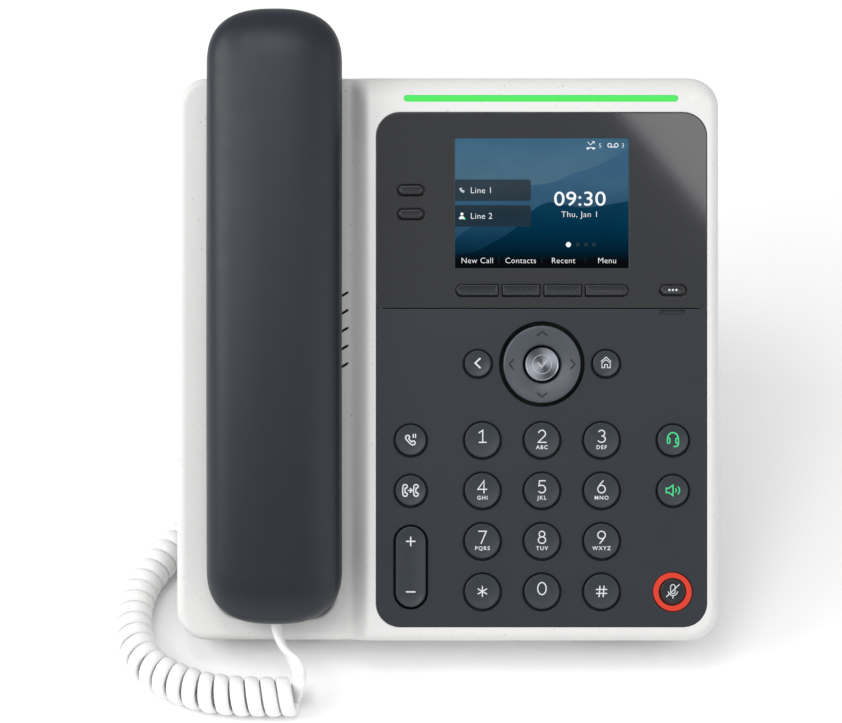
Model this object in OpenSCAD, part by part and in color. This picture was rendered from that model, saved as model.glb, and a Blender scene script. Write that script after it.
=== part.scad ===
// Desk IP phone: a sloping body on a fold-out leg, a handset in its cradle,
// a display, a light bar, 29 keys and a curly handset cord.
// Row frame: +Z up, the user sits towards -Y, the origin is on the desk
// under the middle of the phone. Face frame: x to the right, y up the face,
// z out of the face, and z is 0 at the back of the rear housing.

/* [Body] */
// Width of the housing
body_w = 180; // [178:1:184]
// Height of the housing, measured up its face
body_h = 187; // [187:1:190]
// Angle between the face and the desk
face_tilt = 48; // [46:1:50]
// Radius of the housing's corners, seen from the front
corner_r = 10; // [8:1:12]
// Thickness of the housing's walls
wall = 2.2; // [1.8:0.1:2.4]

/* [Keys] */
// Distance between the dial keys, across
dial_pitch_x = 19.7; // [19:0.1:20]
// Distance between the dial keys, up the face
dial_pitch_y = 16.7; // [16:0.1:17]
// Diameter of a dial key's hole
dial_hole = 12.7; // [12:0.1:13]
// Gap all round a key in its hole
key_gap = 0.35; // [0.3:0.05:0.4]
// How far a key is pressed
key_travel = 1; // [0.6:0.1:1]

/* [Handset] */
// Length of the handset
handset_len = 203; // [200:1:204]
// Width of the handset
handset_w = 44.6; // [44:0.1:45]
// Thickness of the handset's shells
shell_t = 2; // [1.6:0.1:2.2]

/* [Stand] */
// Width of the fold-out leg
leg_w = 98; // [90:1:98]
// How far the leg leans back from upright
leg_lean = 8; // [6:1:9]
// Thickness of the leg
leg_t = 5; // [4:0.5:5]

/* [Cord] */
// Outer diameter of the curly cord's coil
coil_d = 13.6; // [12:0.2:14]
// Width of the flat cord
cord_w = 4.6; // [4:0.1:5]

/* [Hidden] */
$fn = 48;
DIAL = ["key_1", "key_2", "key_3", "key_4", "key_5", "key_6",
        "key_7", "key_8", "key_9", "key_star", "key_0", "key_hash"];
SOFT = ["soft_key_1", "soft_key_2", "soft_key_3", "soft_key_4"];
LINES = ["line_key_1", "line_key_2"];
ROUND = ["back_key", "home_key", "hold_key", "transfer_key", "headset_key", "speaker_key"];

gap = 0.1;                     // between parts of one body that are fixed together
// Levels along the face's normal
rear_top = 13;                 // where the rear housing ends
front_low = rear_top + 0.2;    // where the front housing begins
cradle_top = 21;               // the surface that the handset lies over
rim_top = 27.5;                // the raised rim round the dark panels
panel_t = 2;
panel_top = rim_top - 0.2;
panel_low = panel_top - panel_t;
ledge_low = panel_low - 2;
key_top = 28.5;
flange_top = panel_low - 0.4;
flange_t = 0.7;
mat_top = flange_top - flange_t - key_travel - 0.8;
mat_t = 1.2;
well_low = 15.4;               // floor of the wells that take the handset's ends

// The dark panels
panel_x = [-23.6, 86];
panel_y = [4.8, 175.2];
panel_split = 110.3;
panel_r = 8;

// Keys
key_mid_x = 31.3;
dial_low_y = 16.4;
left_keys_x = -12.1;
right_keys_x = 74.6;
nav_y = 91.8;
upper_y = dial_low_y + 3 * dial_pitch_y;
second_y = dial_low_y + 2 * dial_pitch_y;
side_hole = 11.2;
small_hole = 9.8;
ring_hole = 28.1;
ring_r = 12.8;
ring_in_r = 6.2;
button_r = 5.6;
volume_y = 24.6;
volume_h = 27.9;
mute_ring_r = 6.5;
mute_hole_r = 4.45;
lcd_mid_y = 145.1;
lcd_view = [57.6, 43.2];
soft_y = 116.1;
pill_h = 4.4;
pill_w = 9.6;
soft_web = 0.8;
soft_outer_w = 14.6;
soft_inner_w = 12.95;
line_y = [149.2, 141.3];

// Light bar above the display
light_bar_x = 31;
light_bar_y = 179.9;
bar_len = 90.6;
bar_h = 2;
bar_low = 19.3;
bar_top = 26.7;

// Bulge on the back, which holds the sockets and carries the leg
bulge_w = 150;
bulge_y = [96, 174];
bulge_d = 14;
bulge_r = 6;
jack_len = 13;
network_x = [-17, 3];
rj45 = [15.8, jack_len, 13.4];
rj45_hole = [12, 11, 8];
cord_jack_x = [-66, 66];
rj9 = [11.2, jack_len, 10.4];
rj9_hole = [7.9, 10, 7.1];
power_x = 24;
board_low = 2.6;
board_t = 1.6;
post_y = [114, 166];           // posts that the main board stands on

// Screws that hold the two housings together
screw_x = 81;
screw_y = [11, 176];
screw_r = 1.4;
boss_r = 3.6;

// Holes for a wall bracket, on a square
bracket_y = 126;
bracket_pitch = 40;
bracket_hole_r = 1.6;

// Speaker under the cradle
speaker_y = 102.1;
slot_len = 7.4;
slot_w = 0.8;
slot_angle = 32;
slot_pitch = [10.5, 5.9];
speaker_reach = 24.2;

// Cradle wells and handset
handset_x = -57;
handset_low_y = 6.1;
well_half_w = 19.7;
ear_well_y = [156, 200];
mouth_well_y = [7.5, 45];
boss_y = [38.5, 162.5];         // the handset's two bosses end here, towards its middle
boss_slope = 5;
handset_mid_y = handset_low_y + handset_len / 2;
handset_top = 46.5;            // middle of the handset's back
arch = 5.5;                    // how far its ends lie lower than its middle
part_top = 34;                 // line between its two shells, at the middle
part_arch = 3.5;
grip_low = 29.2;
boss_low = 15.8;
end_zone = 19;                 // length of each rounded end
end_power = 2.6;
plug_y = 9;
plug_w0 = 22.6;
tab_y = 149;                   // small tab that the handset hangs on
hook_y = 23;                   // switch pin under the handset
receiver_y = 180;
microphone_y = 29;

// Leg hinge, in the face frame
hinge_y = 163;
hinge_z = -bulge_d - leg_t;
pin_r = 2;
pin_len = 18;
ear_t = 6;
foot_gap = 1.5;                // the rubber feet lift the body this far off the desk
base_foot = 8;                 // depth of the rubber wedges under the front edge
foot_reach = 7;                // the leg's foot goes this far behind the leg's line

// Where the face frame lies in the row frame
st = sin(face_tilt);
ct = cos(face_tilt);
leg_drop = hinge_y * st + hinge_z * ct;
leg_foot_y = hinge_y * ct - hinge_z * st + leg_drop * tan(leg_lean);
front_reach = max([for (s = back_stations()) for (p = back_ring(s, 0)) p[2] * st - p[1] * ct]);
face_y = -(leg_foot_y + foot_reach - front_reach) / 2;
face_z = foot_gap;

// The cord's route in the row frame: points chosen by hand, on the desk or rising to a plug
coil_route = [[-51, -94.6, 6.8], [-61, -94.7, 6.8], [-71, -94.2, 6.8], [-80, -92.6, 6.8],
    [-88.5, -89.2, 6.8], [-95.5, -84.6, 6.8], [-100.5, -79.5, 6.8], [-104.3, -72, 6.8],
    [-106.1, -63.5, 6.8], [-106.2, -54, 6.8], [-104.7, -45, 6.8], [-101.2, -36.5, 6.8],
    [-95.5, -26.5, 6.8], [-88.5, -17, 6.8], [-80.5, -8, 6.8], [-73, 2, 6.8], [-68, 13, 6.8],
    [-66, 25, 6.8]];
handset_tail_route = [[-49.3, -95.5, 5.8], [-47.9, -95.5, 5.9], [-47.3, -93, 8.6], [-48, -90.2, 11],
    [-50, -87.3, 13.2], [-52.7, -84.6, 15.4], [-55.1, -81.8, 18.1], [-56.6, -78.5, 21.4],
    [-57, -75.5, 24.8]];
base_tail_route = [[-66, 25.1, 6.8], [-66, 30.5, 7.6], [-66, 34.5, 11], [-66, 35.5, 17],
    [-66, 32.5, 23], [-66, 26.5, 29], [-66, 18.5, 35], [-66, 9.5, 41], [-66, 2.5, 47],
    [-66, -2.2, 53.5], [-66, -3, 59.5], [-66, -0.6, 65.4], [-66, 2.9, 69.3]];

// ---------- helpers ----------

module on_face() translate([0, face_y, face_z]) rotate([face_tilt, 0, 0]) children();

module rrect(size, r) {
    square([size[0] - 2 * r, size[1]], center = true);
    square([size[0], size[1] - 2 * r], center = true);
    for (sx = [-1, 1], sy = [-1, 1])
        translate([sx * (size[0] / 2 - r), sy * (size[1] / 2 - r)]) circle(r);
}

// A rounded block between two corners of the face frame
module block(x, y, z, r) {
    translate([(x[0] + x[1]) / 2, (y[0] + y[1]) / 2, z[0]])
        linear_extrude(z[1] - z[0]) rrect([x[1] - x[0], y[1] - y[0]], r);
}

module box(x, y, z) translate([x[0], y[0], z[0]]) cube([x[1] - x[0], y[1] - y[0], z[1] - z[0]]);

module pill(len, h) {
    square([len - h, h], center = true);
    for (s = [-1, 1]) translate([s * (len - h) / 2, 0]) circle(h / 2);
}

module tube_z(r, z) translate([0, 0, z[0]]) cylinder(r = r, h = z[1] - z[0]);

function unit(v) = v / norm(v);
function spline(p, i, t) =
    let (a = p[max(i - 1, 0)], b = p[i], c = p[i + 1], d = p[min(i + 2, len(p) - 1)])
    0.5 * (2 * b + (c - a) * t + (2 * a - 5 * b + 4 * c - d) * t * t
        + (3 * b - a - 3 * c + d) * t * t * t);
function smooth(p, n) = concat([for (i = [0:len(p) - 2]) for (k = [0:n - 1]) spline(p, i, k / n)],
    [p[len(p) - 1]]);
function ring_at(p, i, r, sides, side_way) =
    let (ahead = unit(p[min(i + 1, len(p) - 1)] - p[max(i - 1, 0)]),
         up = unit(cross(ahead, side_way)), side = cross(up, ahead))
    [for (k = [0:sides - 1]) p[i] + r * (cos(360 * k / sides) * side + sin(360 * k / sides) * up)];

// A round tube along a route
module sweep(route, r, sides, per_span, side_way) {
    p = smooth(route, per_span);
    n = len(p);
    polyhedron(
        points = [for (i = [0:n - 1]) each ring_at(p, i, r, sides, side_way)],
        faces = concat(
            [[for (k = [0:sides - 1]) sides - 1 - k]],
            [for (i = [0:n - 2]) for (k = [0:sides - 1]) each
                let (a = i * sides + k, b = i * sides + (k + 1) % sides)
                [[a, b, b + sides], [a, b + sides, a + sides]]],
            [[for (k = [0:sides - 1]) (n - 1) * sides + k]]));
}

// ---------- housings ----------

module outline(grow, z) block([-body_w / 2 - grow, body_w / 2 + grow], [-grow, body_h + grow],
    z, corner_r + grow);

module rear_housing() color("whitesmoke") on_face() difference() {
    union() {
        outline(0, [0, rear_top]);
        block([-bulge_w / 2, bulge_w / 2], bulge_y, [-bulge_d, 1], bulge_r);
        for (s = [-1, 1]) {
            translate([s * (leg_w / 2 + 1 + ear_t / 2), hinge_y, hinge_z]) rotate([0, 90, 0])
                cylinder(r = 4.6, h = ear_t, center = true);
            translate([s * (leg_w / 2 + 1 + ear_t / 2) - ear_t / 2, hinge_y - 4.6, hinge_z])
                cube([ear_t, 9.2, leg_t + 1]);
        }
    }
    difference() {
        outline(-wall, [wall, rear_top + 1]);
        for (s = [-1, 1], y = screw_y) translate([s * screw_x, y, 0]) tube_z(4.2, [0, rear_top + 2]);
    }
    difference() {
        block([-bulge_w / 2 + wall, bulge_w / 2 - wall], [bulge_y[0] + wall, bulge_y[1] - wall],
            [-bulge_d + wall, wall + 1], bulge_r - wall);
        for (x = cord_jack_x, y = post_y) translate([x, y, 0]) tube_z(3, [-bulge_d, board_low - gap]);
    }
    for (s = [-1, 1], y = screw_y) translate([s * screw_x, y, 0]) {
        tube_z(3.2, [-1, 8]);
        tube_z(screw_r + gap, [7, rear_top + 1]);
    }
    for (x = network_x) socket_window(x, rj45);
    for (x = cord_jack_x) socket_window(x, rj9);
    socket_window(power_x, [9, jack_len, 11]);
    for (sx = [-1, 1], sy = [-1, 1])
        translate([sx * bracket_pitch / 2, bracket_y + sy * bracket_pitch / 2, 0])
            tube_z(bracket_hole_r, [-bulge_d - 1, -bulge_d + wall + 1]);
    for (s = [-1, 1]) translate([s * (leg_w / 2 + 1 + ear_t / 2), hinge_y, hinge_z])
        rotate([0, 90, 0]) cylinder(r = pin_r + 0.03, h = ear_t + 2, center = true);
}

// The opening in the bulge's lower wall where a socket shows
module socket_window(x, size) box([x - size[0] / 2 - gap, x + size[0] / 2 + gap],
    [bulge_y[0] - 1, bulge_y[0] + wall + 1],
    [board_low - 0.1 - size[2] - gap, board_low]);

// Section of the front housing across the face
module section_x(inset, cradle, rim) {
    e = body_w / 2 - inset;
    polygon([[-e, front_low - 1], [-e, cradle - 3], [-e + 1.3, cradle - 0.8], [-e + 3.6, cradle],
        [panel_x[0] - 9.2, cradle], [panel_x[0] - 7.4, cradle + 0.8],
        [panel_x[0] - 3.2, rim - 0.8], [panel_x[0] - 1.4, rim],
        [panel_x[1] + 1.3, rim], [e - 1, rim - 1.6], [e, rim - 4.5], [e, front_low - 1]]);
}

// Section of the front housing up the face
module section_y(inset, rim) {
    e = body_h - inset;
    polygon([[inset, front_low - 1], [inset, rim - 5.5], [inset + 1.1, rim - 2], [inset + 3.1, rim],
        [panel_y[1] + 1.4, rim], [e - 5.6, rim - 1.4], [e - 1.8, rim - 4], [e, rim - 7.6],
        [e, front_low - 1]]);
}

module front_form(inset, low, cradle, rim) intersection() {
    outline(-inset, [low, rim + 1]);
    translate([0, body_h + 5, 0]) rotate([90, 0, 0]) linear_extrude(body_h + 10)
        section_x(inset, cradle, rim);
    rotate([90, 0, 90]) translate([0, 0, -body_w / 2 - 5]) linear_extrude(body_w + 10)
        section_y(inset, rim);
}

module wells(grow, low) for (y = [ear_well_y, mouth_well_y])
    block([handset_x - well_half_w - grow, handset_x + well_half_w + grow],
        [y[0] - grow, y[1] + grow], [low, rim_top], 8 + grow);

module speaker_slots() for (i = [-2:2], k = [-4:4])
    if (norm([i * slot_pitch[0], k * slot_pitch[1]]) < speaker_reach)
        translate([handset_x + i * slot_pitch[0], speaker_y + k * slot_pitch[1], cradle_top - 4])
            rotate([0, 0, slot_angle]) linear_extrude(6) pill(slot_len, slot_w);

module front_housing() color("whitesmoke") on_face() difference() {
    front_form(0, front_low, cradle_top, rim_top);
    difference() {
        front_form(wall, front_low - 2, cradle_top - wall, ledge_low);
        intersection() {
            wells(wall, front_low - 3);
            outline(-1, [front_low - 3, cradle_top]);
        }
        for (s = [-1, 1], y = screw_y) translate([s * screw_x, y, 0]) {
            tube_z(boss_r, [front_low, rim_top]);
            translate([s > 0 ? boss_r - 1 : -8, -1, front_low]) cube([9 - boss_r, 2, 12]);
        }
    }
    wells(0, well_low);
    block([panel_x[0], panel_x[1]], panel_y, [panel_low, rim_top + 1], panel_r);
    box([panel_x[0] + 2.2, panel_x[1] - 2.2], [panel_y[0] + 2.1, panel_y[1] - 2.2],
        [ledge_low - 1, panel_low + 1]);
    translate([light_bar_x, light_bar_y, bar_low]) linear_extrude(rim_top - bar_low)
        pill(bar_len + 0.3, bar_h + 0.3);
    speaker_slots();
    for (s = [-1, 1], y = screw_y) translate([s * screw_x, y, 0]) tube_z(screw_r + 0.06, [10, 19.5]);
    translate([handset_x, hook_y, 0]) tube_z(3.4, [front_low - 3, cradle_top]);
    block([handset_x - 7.2, handset_x + 7.2], [tab_y - 5.2, tab_y + 5.2],
        [cradle_top - 1.4, cradle_top + 1], 1.5);
}

module base_feet() color("dimgray") for (s = [-1, 1]) translate([s * 58 - 16, 0, 0])
    rotate([90, 0, 90]) linear_extrude(32) polygon([for (p = [[0.5, 0], [base_foot, 0], [base_foot, 1], [0.5, 1]])
        [face_y + p[0], p[1] * (foot_gap + p[0] * st / ct - gap)]]);

module housing_screws() color("silver") on_face() for (s = [-1, 1], y = screw_y)
    translate([s * screw_x, y, 0]) difference() {
        union() {
            tube_z(2.9, [5.6, 7.9]);
            tube_z(screw_r, [7, 19]);
        }
        translate([-1.9, -0.4, 5]) cube([3.8, 0.8, 1.7]);
        translate([-0.4, -1.9, 5]) cube([0.8, 3.8, 1.7]);
    }

// ---------- panels, display and lights ----------

module panel_plate(y, low, top) intersection() {
    block([panel_x[0] + gap, panel_x[1] - gap], [panel_y[0] + gap, panel_y[1] - gap],
        [low, top], panel_r - gap);
    box([panel_x[0] - 5, panel_x[1] + 5], y, [low - 1, top + 1]);
}

module key_holes(grow) {
    for (i = [0:11]) dial_place(i) circle(dial_hole / 2 + grow);
    for (i = [0:5]) round_place(i) circle(round_hole(i) / 2 + grow);
    translate([left_keys_x, volume_y]) rotate(90) pill(volume_h + 2 * grow, side_hole + 2 * grow);
    translate([right_keys_x, dial_low_y]) circle(mute_ring_r + 0.05 + grow);
    translate([key_mid_x, nav_y]) circle(ring_hole / 2 + grow);
}

module keypad_panel() color("darkslategray") on_face() difference() {
    panel_plate([0, panel_split - 0.12], panel_low + 0.05, panel_top);
    translate([0, 0, panel_low - 1]) linear_extrude(panel_t + 3) key_holes(0);
    box([right_keys_x - 4.2, right_keys_x + 4.2], [108.4, 109.6], [panel_top - 0.9, panel_top + 1]);
    translate([right_keys_x, 109, 0]) tube_z(0.5, [panel_low - 1, panel_top + 1]);
}

function soft_x(i) = let (whole = 2 * soft_outer_w + 2 * soft_inner_w + 3 * soft_web)
    key_mid_x + (i < 2 ? -1 : 1) * (i == 1 || i == 2 ? (soft_web + soft_inner_w) / 2
        : whole / 2 - soft_outer_w / 2);
function soft_w(i) = i == 1 || i == 2 ? soft_inner_w : soft_outer_w;

// A soft key's outline: the outer two have a round end on the outside
module soft_shape(i, shrink) {
    w = soft_w(i) - 2 * shrink;
    h = pill_h - 2 * shrink;
    if (i == 0 || i == 3) {
        s = i == 0 ? -1 : 1;
        translate([s * (w - h) / 2, 0]) circle(h / 2);
        translate([-s * h / 4, 0]) square([w - h / 2, h], center = true);
    } else square([w, h], center = true);
}

module display_bezel() color("black") on_face() difference() {
    panel_plate([panel_split + 0.12, 200], panel_low + 0.05, panel_top);
    translate([0, 0, panel_low - 1]) linear_extrude(panel_t + 3) {
        translate([key_mid_x, lcd_mid_y]) square(lcd_view, center = true);
        for (i = [0:3]) translate([soft_x(i), soft_y]) soft_shape(i, 0);
        for (y = line_y) translate([left_keys_x, y]) pill(pill_w, pill_h);
        translate([right_keys_x, soft_y]) pill(pill_w, pill_h);
    }
}

module lcd_module() color("steelblue") on_face() {
    box([key_mid_x - 34.5, key_mid_x + 34.5], [lcd_mid_y - 23.8, lcd_mid_y + 26], [mat_top - mat_t, 25.2]);
    box([key_mid_x - lcd_view[0] / 2 + gap, key_mid_x + lcd_view[0] / 2 - gap],
        [lcd_mid_y - lcd_view[1] / 2 + gap, lcd_mid_y + lcd_view[1] / 2 - gap], [25, 26.7]);
}

module light_bar() color("limegreen") on_face() translate([light_bar_x, light_bar_y, 0]) {
    translate([0, 0, bar_low]) linear_extrude(bar_top - bar_low) pill(bar_len, bar_h);
    box([-bar_len / 2 - 1, bar_len / 2 + 1], [-bar_h - 0.4, bar_h + 0.4], [bar_low - 2, bar_low]);
}

module mute_light_ring() color("tomato") on_face() translate([right_keys_x, dial_low_y, 0])
    difference() {
        tube_z(mute_ring_r, [24.6, 28.1]);
        tube_z(mute_hole_r, [24, 29]);
    }

// ---------- inside the base ----------

module main_board() color("darkgreen") on_face() difference() {
    union() {
        box([-70, 70], [99, 170], [board_low, board_low + board_t]);
        box([-14, 10], [128, 152], [board_low, board_low + board_t + 1.6]);
        box([28, 44], [112, 124], [board_low, board_low + board_t + 2.4]);
    }
    for (x = cord_jack_x, y = post_y) translate([x, y, 0]) tube_z(1.6, [0, 9]);
}

// Cuts a plate clear of the boss that holds the lower right screw
module clear_of_boss() difference() {
    children();
    translate([screw_x, screw_y[0], 0]) tube_z(boss_r + 0.4, [front_low, rim_top]);
}

module keypad_board() color("darkgreen") on_face() clear_of_boss()
    box([-20, 82], [8, 171], [mat_top - mat_t - 1.8, mat_top - mat_t - 0.2]);

module key_mat() color("dimgray") on_face() clear_of_boss()
    box([-19.5, 81.5], [8.5, 119.5], [mat_top - mat_t, mat_top]);

module loudspeaker() color("dimgray") on_face() translate([handset_x, speaker_y, 0]) {
    rotate_extrude() polygon([[0, 8], [11, 8], [11, 13.5], [19, 16.4], [20.5, 16.4], [20.5, 18.6],
        [18.4, 18.6], [9, 15], [0, 15]]);
}

module socket(size, hole) difference() {
    translate([-size[0] / 2, 0, board_low - 0.1 - size[2]]) cube(size);
    translate([-hole[0] / 2, -1, board_low - 0.1 - (size[2] + hole[2]) / 2])
        cube([hole[0], hole[1] + 1, hole[2]]);
}

module network_jacks() color("silver") on_face() for (x = network_x)
    translate([x, bulge_y[0], 0]) socket(rj45, rj45_hole);

module cord_jacks() color("black") on_face() for (x = cord_jack_x)
    translate([x, bulge_y[0], 0]) socket(rj9, rj9_hole);

module power_jack() color("black") on_face() translate([power_x, bulge_y[0], -3]) difference() {
    translate([-4.5, 0, -5.5]) cube([9, jack_len, 11]);
    difference() {
        translate([0, -1, 0]) rotate([-90, 0, 0]) cylinder(r = 3.1, h = 11);
        translate([0, -2, 0]) rotate([-90, 0, 0]) cylinder(r = 1, h = 14);
    }
}

// The switch pin under the handset's mouth end: at rest the handset holds it down
module hook_plunger() color("black") on_face() translate([handset_x, hook_y, 0]) {
    tube_z(3.1, [9, well_low + 0.1]);
    tube_z(4.6, [8, 10]);
}

// Small tab that the handset hangs on when the phone is on a wall
module handset_tab() color("whitesmoke") on_face() {
    block([handset_x - 7, handset_x + 7], [tab_y - 5, tab_y + 5],
        [cradle_top - 1.3, cradle_top + 0.2], 1.4);
    block([handset_x - 4, handset_x + 4], [tab_y - 4, tab_y + 1], [cradle_top, cradle_top + 2.2], 1);
}

// ---------- leg ----------

module on_leg() translate([0, face_y + hinge_y * ct - hinge_z * st, face_z + leg_drop])
    rotate([leg_lean, 0, 0]) children();

module stand() color("whitesmoke") {
    leg_len = leg_drop / cos(leg_lean);
    difference() {
        union() {
            on_leg() translate([-leg_w / 2, -leg_t / 2, -leg_len]) cube([leg_w, leg_t, leg_len + 3.6]);
            translate([-leg_w / 2, face_y + leg_foot_y - 9, foot_gap])
                cube([leg_w, 9 + foot_reach, 7]);
        }
        on_leg() box([-38, 38], [-10, 10], [-leg_len + 16, -14]);
        on_leg() rotate([0, 90, 0]) cylinder(r = pin_r + 0.06, h = leg_w + 4, center = true);
        on_leg() box([-38, 38], [-10, 10], [-8, 10]);
        translate([-leg_w, -150, -20]) cube([2 * leg_w, 400, 20 + foot_gap]);
    }
}

module stand_feet() color("dimgray") for (s = [-1, 1])
    translate([s * 34 - 12, face_y + leg_foot_y - 8, 0]) cube([24, 14, foot_gap]);

module hinge_pins() color("silver") on_face() for (s = [-1, 1])
    translate([s * (leg_w / 2 + 1 + ear_t - pin_len / 2), hinge_y, hinge_z])
        rotate([0, 90, 0]) cylinder(r = pin_r, h = pin_len, center = true);

// ---------- handset ----------

// 0 in the handset's straight middle, rising to 1 at its tips
function end_share(y) = max(0, (abs(y - handset_mid_y) - (handset_len / 2 - end_zone)) / end_zone);
function round_off(t) = pow(max(0, 1 - pow(min(1, t), end_power)), 1 / end_power);
function bow(y) = pow((y - handset_mid_y) / (handset_len / 2), 2);
function half_w(y) = handset_w / 2 * round_off(end_share(y));
function part_at(y) = part_top - part_arch * bow(y);
function back_at(y) = part_at(y)
    + (handset_top - arch * bow(y) - part_at(y)) * round_off(end_share(y));
// The handset's ends reach down into the wells, and its grip is raised for fingers
function boss_share(y) = let (mouth = (y - boss_y[0]) / boss_slope, ear = (boss_y[1] - y) / boss_slope)
    max(0, min(1, mouth, ear));
function low_at(y) = part_at(y)
    - (part_at(y) - boss_low - (grip_low - boss_low) * boss_share(y)) * round_off(end_share(y));
function stations(rings, mid_rings) = concat(
    [for (i = [0:rings]) handset_low_y + end_zone * (1 - cos(90 * i / rings)) + 0.05],
    [for (i = [1:mid_rings - 1])
        handset_low_y + end_zone + (handset_len - 2 * end_zone) * i / mid_rings],
    [for (i = [0:rings]) handset_low_y + handset_len - end_zone * (1 - sin(90 * i / rings)) - 0.05]);
function back_stations() = stations(7, 16);
function back_ring(y, inset) = handset_ring(y, back_at(y), inset);
// A half ring from the left edge to the right one, over the top or under the bottom
function handset_ring(y, far, inset, n = 16) =
    let (s = inset_y(y, inset), a = max(0.4, half_w(y) - inset), p = part_at(y),
         h = abs(far - p) < inset + 0.3 ? 0.3 : abs(far - p) - inset, up = far >= p ? 1 : -1)
    [for (k = [0:n]) let (q = -cos(180 * k / n), r = sin(180 * k / n))
        [handset_x + a * sign(q) * pow(abs(q), 2 / end_power), s,
         p + up * h * pow(abs(r), 2 / end_power)]];
function inset_y(y, inset) = handset_mid_y
    + (y - handset_mid_y) * (handset_len / 2 - inset) / (handset_len / 2);

// A closed shell between an outer and an inner set of half rings
module half_shell(outer, inner, flip) {
    m = len(outer);
    n = len(outer[0]);
    skin = function (base, i, k) base + i * n + k;
    o = 0;
    e = m * n;
    faces = concat(
        [for (i = [0:m - 2]) for (k = [0:n - 2]) each
            let (a = skin(o, i, k), b = skin(o, i, k + 1), c = skin(o, i + 1, k + 1),
                 d = skin(o, i + 1, k))
            [[a, c, b], [a, d, c]]],
        [for (i = [0:m - 2]) for (k = [0:n - 2]) each
            let (a = skin(e, i, k), b = skin(e, i, k + 1), c = skin(e, i + 1, k + 1),
                 d = skin(e, i + 1, k))
            [[a, b, c], [a, c, d]]],
        [for (i = [0:m - 2]) each
            let (a = skin(o, i, 0), b = skin(o, i + 1, 0), c = skin(e, i + 1, 0), d = skin(e, i, 0))
            [[a, c, b], [a, d, c]]],
        [for (i = [0:m - 2]) each
            let (a = skin(o, i, n - 1), b = skin(o, i + 1, n - 1), c = skin(e, i + 1, n - 1),
                 d = skin(e, i, n - 1))
            [[a, b, c], [a, c, d]]],
        [[for (k = [0:n - 1]) skin(o, 0, k)], [for (k = [0:n - 1]) skin(o, m - 1, n - 1 - k)],
         [for (k = [0:n - 1]) skin(e, 0, n - 1 - k)], [for (k = [0:n - 1]) skin(e, m - 1, k)],
         [skin(o, 0, 0), skin(o, 0, n - 1), skin(e, 0, 0)],
         [skin(o, 0, n - 1), skin(e, 0, n - 1), skin(e, 0, 0)],
         [skin(o, m - 1, n - 1), skin(o, m - 1, 0), skin(e, m - 1, n - 1)],
         [skin(o, m - 1, 0), skin(e, m - 1, 0), skin(e, m - 1, n - 1)]]);
    polyhedron(points = concat([for (r = outer) each r], [for (r = inner) each r]),
        faces = flip ? [for (f = faces) [for (k = [len(f) - 1:-1:0]) f[k]]] : faces);
}

module handset_back_shell() color("darkslategray") on_face() translate([0, 0, 0.05])
    half_shell([for (y = back_stations()) back_ring(y, 0)],
        [for (y = back_stations()) back_ring(y, shell_t)], false);

function front_low_in(y) = max(low_at(y - shell_t), low_at(y), low_at(y + shell_t));

module handset_front_shell() color("darkslategray") on_face() difference() {
    translate([0, 0, -0.05]) half_shell(
        [for (y = front_rows()) handset_ring(y, low_at(y), 0)],
        [for (y = front_rows()) handset_ring(y, front_low_in(y), shell_t)], true);
    box([handset_x - 4.3, handset_x + 4.3], [0, plug_y + 14], [plug_w0 - 0.4, plug_w0 + 7.2]);
    for (x = [-1:1], y = [-1:1]) if (abs(x) + abs(y) < 2)
        translate([handset_x + 3.6 * x, receiver_y + 3.6 * y, 0]) tube_z(0.9, [boss_low - 2, 22]);
    translate([handset_x, microphone_y, 0]) tube_z(0.8, [boss_low - 2, 22]);
}
// Rings lie close together where the bosses' walls rise
function front_rows() = let (low = handset_low_y, top = handset_low_y + handset_len) concat(
    [for (i = [0:7]) low + end_zone * (1 - cos(90 * i / 7)) + 0.05],
    [boss_y[0] - 3],
    [for (s = [0:4]) boss_y[0] + boss_slope * s / 4],
    [for (i = [1:7]) boss_y[0] + boss_slope + (boss_y[1] - boss_y[0] - 2 * boss_slope) * i / 8],
    [for (s = [0:4]) boss_y[1] - boss_slope * (1 - s / 4)],
    [boss_y[1] + 3, boss_y[1] + 9, boss_y[1] + 18],
    [for (i = [0:7]) top - end_zone * (1 - sin(90 * i / 7)) - 0.05]);

module receiver() color("silver") on_face() translate([handset_x, receiver_y, 0]) {
    tube_z(10, [boss_low + 3.6, 22]);
    tube_z(6, [21.9, 24.5]);
}

module handset_microphone() color("silver") on_face() translate([handset_x, microphone_y, 0])
    tube_z(4.8, [boss_low + 2.4, 21]);

// ---------- cord and its plugs ----------

module plug_body() {
    translate([-3.8, 0, -3.2]) cube([7.6, 10.5, 5.4]);
    translate([-2, 1, 2.1]) rotate([4, 0, 0]) cube([4, 8, 0.6]);
}

module handset_plug() color("gainsboro") on_face()
    translate([handset_x, plug_y, plug_w0 + 3.2]) plug_body();

module base_plug() color("gainsboro") on_face()
    translate([cord_jack_x[0], bulge_y[0] - 1.5, board_low - 0.1 - rj9[2] / 2]) plug_body();

module cord_coil() color("white") sweep(coil_route, coil_d / 2, 12, 2, [0, 0, 1]);
module cord_tail_handset() color("white") sweep(handset_tail_route, cord_w / 2, 8, 2, [1, 0, 0.3]);
module cord_tail_base() color("white") sweep(base_tail_route, cord_w / 2, 8, 2, [1, 0, 0]);

// ---------- keys ----------

module dial_place(i) translate([key_mid_x + (i % 3 - 1) * dial_pitch_x,
    dial_low_y + (3 - floor(i / 3)) * dial_pitch_y]) children();

function round_hole(i) = i < 2 ? small_hole : side_hole;
module round_place(i) translate(
    i == 0 ? [key_mid_x - 21.2, nav_y] : i == 1 ? [key_mid_x + 21.2, nav_y]
    : i == 2 ? [left_keys_x, upper_y] : i == 3 ? [left_keys_x, second_y]
    : i == 4 ? [right_keys_x, upper_y] : [right_keys_x, second_y]) children();

module round_key(hole) {
    tube_z(hole / 2 - key_gap, [flange_top - flange_t, key_top]);
    tube_z(hole / 2 + 0.6, [flange_top - flange_t, flange_top]);
}

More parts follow.
